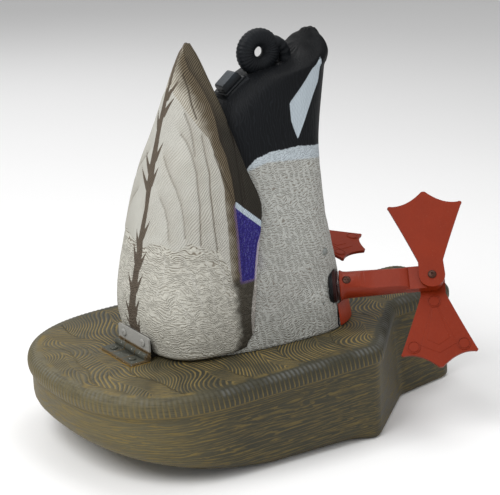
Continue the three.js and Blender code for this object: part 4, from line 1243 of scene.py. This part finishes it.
for name in SPINS:
    for number, over in (("1", 0.0), ("2", math.pi)):
        one = copied(foot, name + "_webbed_foot_" + number)
        one.data.transform(Matrix.Rotation(over, 4, "X"))
        place_leg(one, name)
        settle(one, name + "_leg_set", "leg_plastic", name + "_foot_" + number)
bpy.data.objects.remove(foot)

# ---------------------------------------------------------------------------
# The leg's screws. A cross slotted set screw sunk in the root, and a browned machine
# screw with a socket and a nut, which clamps both feet to the tongue.

screw_paint, place = object_paint("browned_steel")
brown_steel = mottled(place, 700.0, (92, 52, 36), (52, 34, 26))
lay(screw_paint, brown_steel, 0.35 + cloud(place, 1500.0, 2.0) * 0.25, cloud(place, 1800.0, 3.0), 0.1,
    Metallic=0.6)


def domed(name, radius, height, seat):
    """A domed head along +X that stands on a seat, with its slot still to be cut."""
    steps = [(seat + height * (0.25 + 0.75 * math.sin(t)), radius * math.cos(t))
             for t in np.linspace(0, math.pi / 2, 8)[:-1]]
    return spun_profile(name, [(seat, 0), (seat, radius), *steps, (seat + height, 0)], 40)


set_screw = domed("set_screw", 3.4, 1.2, 0.0)
for size in ((1.4, 4.2, 0.9), (1.4, 0.9, 4.2)):
    combine(set_screw, own_block("slot", size, (1.2, 0, 0)), "DIFFERENCE")
ease_edges(set_screw, 0.08, 1, 50)
set_screw.data.transform(Matrix.Translation((SET_SCREW_X, -10.95, 0)) @ ACROSS_LEG)
foot_screw = domed("foot_screw", 3.7, 2.0, 7.9)
socket = spun_profile("socket", [(8.7, 0), (8.7, 1.2), (12, 1.2), (12, 0)], 6)
combine(foot_screw, socket, "DIFFERENCE")
shank = spun_profile("shank", [(-8.1, 0), (-8.1, 2.3), (8.1, 2.3), (8.1, 0)], 24)
combine(foot_screw, shank, "UNION")
nut = spun_profile("nut", [(-11.4, 0), (-11.4, 4.0), (-11.0, 4.6), (-8.2, 4.6), (-8.2, 0)], 6)
combine(foot_screw, nut, "UNION")
ease_edges(foot_screw, 0.12, 1, 50)
foot_screw.data.transform(Matrix.Translation((LEG_LENGTH, 0, 0)) @ ACROSS_LEG)
for screw, tail in ((set_screw, "set_screw"), (foot_screw, "foot_screw")):
    given_paints(screw, [screw_paint])
    for name in SPINS:
        one = copied(screw, f"{name}_turned_{tail}")
        place_leg(one, name)
        settle(one, name + "_leg_set", "screw_steel", f"{name}_{tail}")
    bpy.data.objects.remove(screw)

# ---------------------------------------------------------------------------
# The shaft seals and collars. A ribbed black rubber ring pressed in the flank, and a
# glossy dark red collar between it and the leg.

rubber_paint, place = object_paint("black_rubber")
rubber = mottled(place, 160.0, (12, 13, 15), (26, 28, 31))
seal_line = [(-SEAL_DEPTH, 0), (-SEAL_DEPTH, 13.9)]
for middle in (-5.0, -3.6, -2.2, -0.8):
    seal_line += [(middle + x, radius) for x, radius in
                  ((-0.6, 14.0), (-0.3, 14.4), (0, SEAL_RADIUS), (0.3, 14.4), (0.6, 14.0))]
seal_line += [(0.2, 13.8), (SEAL_FRONT, 13.3), (SEAL_FRONT, 0)]
seal = spun_profile("seal", seal_line, 72)
carry(seal.data, "deep", np.array([v.co.x for v in seal.data.vertices]))
stained = step(attribute(place, "deep"), -3.2, -2.4) * 0.8
rubber = mixed(stained, rubber, tone(52, 16, 12))
lay(rubber_paint, rubber, 0.42, cloud(place, 900.0, 3.0), 0.08, Specular_IOR_Level=0.2)
given_paints(seal, [rubber_paint])
collar_paint, place = object_paint("dark_red_collar")
lay(collar_paint, mottled(place, 130.0, (62, 18, 13), (38, 12, 10)),
    0.25 + cloud(place, 200.0, 2.0) * 0.15, cloud(place, 600.0, 2.0), 0.06, Coat_Weight=0.3)
collar = spun_profile("collar", [
    (SEAL_FRONT + GAP, 0), (SEAL_FRONT + GAP, 12.4), (SEAL_FRONT + 0.7, 12.9),
    (COLLAR_END - 0.4, 13.0), (COLLAR_END, 12.6), (COLLAR_END, 0)], 72)
given_paints(collar, [collar_paint])
for name in SPINS:
    one = copied(seal, name + "_ribbed_seal")
    one.data.shade_smooth()
    place_leg(one, name, spins=False)
    settle(one, "duck", "black_rubber", name + "_shaft_seal")
    one = copied(collar, name + "_red_collar")
    one.data.shade_smooth()
    place_leg(one, name)
    settle(one, name + "_leg_set", "collar_plastic", name + "_collar")
bpy.data.objects.remove(seal)
bpy.data.objects.remove(collar)

# ---------------------------------------------------------------------------
# The belly apron. A bright orange moulded skirt that stands proud of the belly's foot,
# from one leg seal to the other, and is closed against the trunk.

# Heights, each with the share of its full reach that the apron has there.
APRON_STEPS = [(BASE_Z + 0.6, 1.0), (92, 1.0), (100, 0.9), (107, 0.62), (110, 0.38)]
APRON_REACH, APRON_COLUMNS, APRON_BACK_X, APRON_HALF_WIDTH = 8.5 / 45, 240, 5, 61.5


def apron_ring(z):
    ring, _ = trunk_ring(z, count=APRON_COLUMNS)
    ring[ring[:, 0] > 0, 0] *= 1 + APRON_REACH * np.interp(z, *zip(*APRON_STEPS))
    return ring


def trunk_behind(z):
    """The trunk a little swollen, and drawn down straight below its foot."""
    return trunk_ring(max(z, BASE_Z), -0.4, APRON_COLUMNS)[0] + (0, 0, min(z - BASE_Z, 0))


apron_levels = np.linspace(APRON_STEPS[0][0], APRON_STEPS[-1][0], 20)
apron = shell("smooth_apron", np.array([apron_ring(z) for z in apron_levels]), TRUNK_PAINT)
inner = np.array([trunk_behind(z) for z in np.linspace(BASE_Z - 3, 114, 20)])
combine(apron, shell("trunk_behind", inner, TRUNK_PAINT), "DIFFERENCE")
for side in (1, -1):
    combine(apron, round_bar("seal_room", SEAL_RADIUS + 1.2, -12, 24, leg_frame(side)), "DIFFERENCE")
combine(apron, block("behind", (-200, -90, 60), (APRON_BACK_X, 90, 130)), "DIFFERENCE")
for side in (1, -1):
    ends = sorted((APRON_HALF_WIDTH * side, (APRON_HALF_WIDTH + 30) * side))
    combine(apron, block("wide", (0, ends[0], 60), (90, ends[1], 130)), "DIFFERENCE")
apron_paint, place = object_paint("orange_apron")
orange = mottled(place, 60.0, (190, 66, 26), (160, 52, 22))
# Darker towards the top, under the legs: painted shade.
orange = mixed(step(part(place, "Z"), 0.096, 0.112) * 0.6, orange, tone(120, 44, 26))
orange = mixed(step(cloud(place, 700.0, 1.0), 0.66, 0.76) * 0.3, orange, tone(206, 130, 96))
lay(apron_paint, orange, 0.4 + cloud(place, 150.0, 2.0) * 0.2, cloud(place, 400.0, 3.0), 0.1,
    Specular_IOR_Level=0.3)
given_paints(apron, [apron_paint])
ease_edges(apron, 0.4 * MM, 2, 50)
settle(apron, "duck", "leg_plastic", "belly_apron")

# ---------------------------------------------------------------------------
# The hinge. A two inch steel butt hinge: the upright leaf is screwed to the foot of the
# folded wings and painted over, and the flat leaf is screwed to the deck and painted
# olive with the float. Rust and gold paint show along the edges and in the knuckles.

HINGE_PLACE = Vector((-160.0, 0.0, 89.6))
LEAF_LONG, LEAF_WIDE, LEAF_THICK, BARREL, PIN = 51.0, 16.5, 1.6, 3.2, 1.4
KNUCKLE = LEAF_LONG / 6
TO_Y = Matrix.Rotation(math.pi / 2, 4, "Z")
LEAF_CORNER, SCREW_Y, SCREW_OUT = 1.8, 15.5, (10.4, 9.4)
half, out = LEAF_LONG / 2, LEAF_WIDE - LEAF_CORNER
# A leaf lies along and out from the barrel, with its two outer corners rounded.
leaf_outline = np.vstack([
    [(-half, 0), (half, 0)], arc_points(half - LEAF_CORNER, out, LEAF_CORNER, 0, 90, 8),
    arc_points(LEAF_CORNER - half, out, LEAF_CORNER, 90, 180, 8)])


def barrel_piece(y0, y1, radius, sides=40):
    obj = spun_profile("barrel", [(y0, 0), (y0, radius), (y1, radius), (y1, 0)], sides)
    obj.data.transform(TO_Y)
    return obj


def knuckled(leaf, own, others):
    """Clears room for the other leaf's knuckles, adds this one's and bores for the pin."""
    for y0, y1 in others:
        combine(leaf, barrel_piece(y0 - GAP, y1 + GAP, BARREL + GAP), "DIFFERENCE")
    for y0, y1 in own:
        combine(leaf, barrel_piece(y0 + GAP / 2, y1 - GAP / 2, BARREL), "UNION")
    combine(leaf, barrel_piece(-LEAF_LONG, LEAF_LONG, PIN + GAP), "DIFFERENCE")


middle_knuckle = [(-KNUCKLE, KNUCKLE)]
outer_knuckles = [(-3 * KNUCKLE, -KNUCKLE), (KNUCKLE, 3 * KNUCKLE)]
upright = slab("upright_leaf", leaf_outline, -BARREL, LEAF_THICK - BARREL)
upright.data.transform(TO_Y)
knuckled(upright, middle_knuckle, outer_knuckles)
# The flat leaf is drawn standing and then laid down on the deck, ahead of the barrel.
flat = slab("flat_leaf", leaf_outline, BARREL - LEAF_THICK, BARREL)
flat.data.transform(Matrix.Rotation(-math.pi / 2, 4, "Y") @ TO_Y)
knuckled(flat, outer_knuckles, middle_knuckle)
pin = barrel_piece(-LEAF_LONG / 2 - 0.6, LEAF_LONG / 2 + 0.6, PIN, 24)
wood_screw = domed("wood_screw", 3.4, 1.2, 0.0)
combine(wood_screw, own_block("slot", (1.0, 7.2, 0.8), (1.3, 0, 0)), "DIFFERENCE")
ease_edges(wood_screw, 0.08, 1, 50)


def hinge_paint(name, upright_part):
    """Paint that has gone over steel: light grey above, olive below, rust at the edges."""
    material, paint = new_paint(name)
    spot = attribute(paint, "spot", vector=True)
    across, along, up = part(spot, "X"), part(spot, "Y"), part(spot, "Z")
    blotch = cloud(spot, 0.35, 3.0)
    along = along.sum("ABSOLUTE", along)
    border = across.sum("ABSOLUTE", across + 8.2) - 8.2
    border = border.sum("MAXIMUM", border, along - 25.4)
    olive = mixed(blotch, tone(60, 62, 56), tone(88, 88, 76))
    rusty = mottled(spot, 0.8, (128, 98, 44), (74, 56, 32), 2.0)
    knuckle_gap = along.sum("ABSOLUTE", along - KNUCKLE)
    worn = step(border + blotch * 1.2, 0.0, 0.8) * 0.8 + step(knuckle_gap + blotch, 1.4, 0.6)
    worn = worn.sum("MINIMUM", worn, 1.0)
    color = mixed(worn * 0.85, olive, rusty)
    color = mixed(step(cloud(spot, 0.55, 1.0), 0.7, 0.74), color, tone(196, 196, 190))
    if upright_part:
        grey = mottled(spot, 0.12, (178, 177, 172), (162, 161, 156))
        grey = mixed(step(cloud(spot, 1.1, 3.0), 0.62, 0.72) * 0.35, grey, tone(120, 112, 100))
        top = step(up + blotch * 1.6, 4.6, 5.4)
        color = mixed(top, color, grey)
        color = mixed(step(up + blotch * 2.0, 6.4, 5.2) * top * 0.8, color, rusty)
    lay(material, color, 0.5 + blotch * 0.2, cloud(spot, 0.9, 3.0), 0.15, Specular_IOR_Level=0.3)
    return material


grey_leaf, olive_leaf = hinge_paint("grey_leaf", True), hinge_paint("olive_leaf", False)
for leaf in (upright, flat, pin):
    ease_edges(leaf, 0.25, 2, 40)
on_spot = Matrix.Identity(4)
hinge_pieces = [
    (upright, "upright_hinge_leaf", "duck", "hinge_steel", "hinge_leaf_body", on_spot),
    (flat, "flat_hinge_leaf", "float", "hinge_steel", "hinge_leaf_float", on_spot),
    (pin, "rusty_hinge_pin", "float", "hinge_steel", "hinge_pin", on_spot)]
# The slot of each screw is left at its own slant.
for number, y in (("1", -SCREW_Y), ("2", SCREW_Y)):
    lean = Matrix.Rotation(math.radians(35 + y), 4, "X")
    seat = Matrix.Translation((BARREL - LEAF_THICK - GAP, y, SCREW_OUT[0]))
    on_body = seat @ Matrix.Rotation(math.pi, 4, "Z") @ lean
    seat = Matrix.Translation((-SCREW_OUT[1], y, LEAF_THICK - BARREL + GAP))
    on_deck = seat @ Matrix.Rotation(-math.pi / 2, 4, "Y") @ lean
    hinge_pieces += [
        (wood_screw, "painted_breast_screw_" + number, "duck", "screw_steel",
         "hinge_screw_body_" + number, on_body),
        (wood_screw, "painted_deck_screw_" + number, "float", "screw_steel",
         "hinge_screw_float_" + number, on_deck)]
for source, name, body, slot_name, node, seat in hinge_pieces:
    one = copied(source, name)
    one.data.transform(seat)
    carry(one.data, "spot", np.array([v.co for v in one.data.vertices]))
    given_paints(one, [grey_leaf if body == "duck" else olive_leaf])
    one.data.transform(Matrix.Translation(HINGE_PLACE * MM) @ Matrix.Scale(MM, 4))
    settle(one, body, slot_name, node)
for source in (upright, flat, pin, wood_screw):
    bpy.data.objects.remove(source)

# ---------------------------------------------------------------------------
# The switch on the rump. A black rubber boot over a toggle, with a rounded sloped top,
# pressed in an oblong flange that is screwed over the shell's opening.

SWITCH_TOP, BOOT_HIGH = 2.0, 7.4
switch_rubber, place = object_paint("switch_rubber")
boot_top = attribute(place, "boot_top")
black_rubber = mottled(place, 200.0, (14, 16, 19), (26, 29, 33))
dusty = mottled(place, 400.0, (52, 62, 72), (34, 41, 48))
lay(switch_rubber, mixed(boot_top * 0.85, black_rubber, dusty), 0.36 + cloud(place, 300.0, 2.0) * 0.15,
    cloud(place, 900.0, 3.0), 0.08, Specular_IOR_Level=0.35)
boot_sides = [(9.6, 0.62), (9.0, 0.8), (7.8, 0.96), (6.6, 1.0), (-8.2, 0.93), (-9.4, 0.84), (-9.9, 0.6)]
boot_line = [(-10.5, 0), (10.5, 0), (10.4, 1.2), (9.9, 1.5),
             *((x, share * BOOT_HIGH) for x, share in boot_sides), (-10.0, 1.5), (-10.4, 1.2)]
boot = slab("boot", boot_line, -6, 6)
ease_edges(boot, 0.9, 4, 30)
tops = np.array([v.co.z for v in boot.data.vertices])
carry(boot.data, "boot_top", smooth(tops, 0.90 * BOOT_HIGH, 0.93 * BOOT_HIGH))
boot.data.transform(Matrix.Translation((0, 0, SWITCH_TOP + GAP)))
flange_line = [(-12, GAP), (12, GAP), (12, 1.4), (11.4, SWITCH_TOP), (-11.4, SWITCH_TOP), (-12, 1.4)]
flange = slab("flange", flange_line, -8.5, 8.5)
ease_edges(flange, 0.5, 3, 40)
carry(flange.data, "boot_top", np.zeros(len(flange.data.vertices)))
switch_pieces = ((boot, "rubber_switch_boot", "switch_cap"), (flange, "switch_flange", "switch_base"))
for source, name, node in switch_pieces:
    source.name = name
    given_paints(source, [switch_rubber])
    source.data.transform(SWITCH_FRAME @ Matrix.Scale(MM, 4))
    settle(source, "duck", "black_rubber", node)

# ---------------------------------------------------------------------------
# The flank plugs. A small pale metal plug pressed in each flank, over the opening that
# the shell was filled or wired through.

PLUG_OUT = 58.3
plug_paint, place = object_paint("dull_plug")
dull = mottled(place, 500.0, (176, 184, 182), (120, 122, 116))
dull = mixed(step(cloud(place, 900.0, 2.0), 0.6, 0.7) * 0.6, dull, tone(84, 74, 54))
lay(plug_paint, dull, 0.4 + cloud(place, 700.0, 2.0) * 0.3, cloud(place, 1500.0, 2.0), 0.08, Metallic=0.5)
plug = domed("plug", 3.0, 0.7, 0.0)
combine(plug, spun_profile("plug_stem", [(-1.0, 0), (-1.0, 3.0), (0.1, 3.0), (0.1, 0)], 40), "UNION")
dimple = spun_profile("dimple", [(0.35, 0), (0.35, 1.2), (2, 1.6), (2, 0)], 24)
combine(plug, dimple, "DIFFERENCE")
ease_edges(plug, 0.1, 1, 40)
given_paints(plug, [plug_paint])
for name, (side, _) in SPINS.items():
    one = copied(plug, name + "_pressed_plug")
    seat = Matrix.Translation(Vector((PLUG_X, -side * PLUG_OUT, PLUG_Z)) * MM)
    one.data.transform(seat @ Matrix.Rotation(-side * math.pi / 2, 4, "Z") @ Matrix.Scale(MM, 4))
    settle(one, "duck", "hinge_steel", name + "_flank_plug")
bpy.data.objects.remove(plug)

low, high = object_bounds()
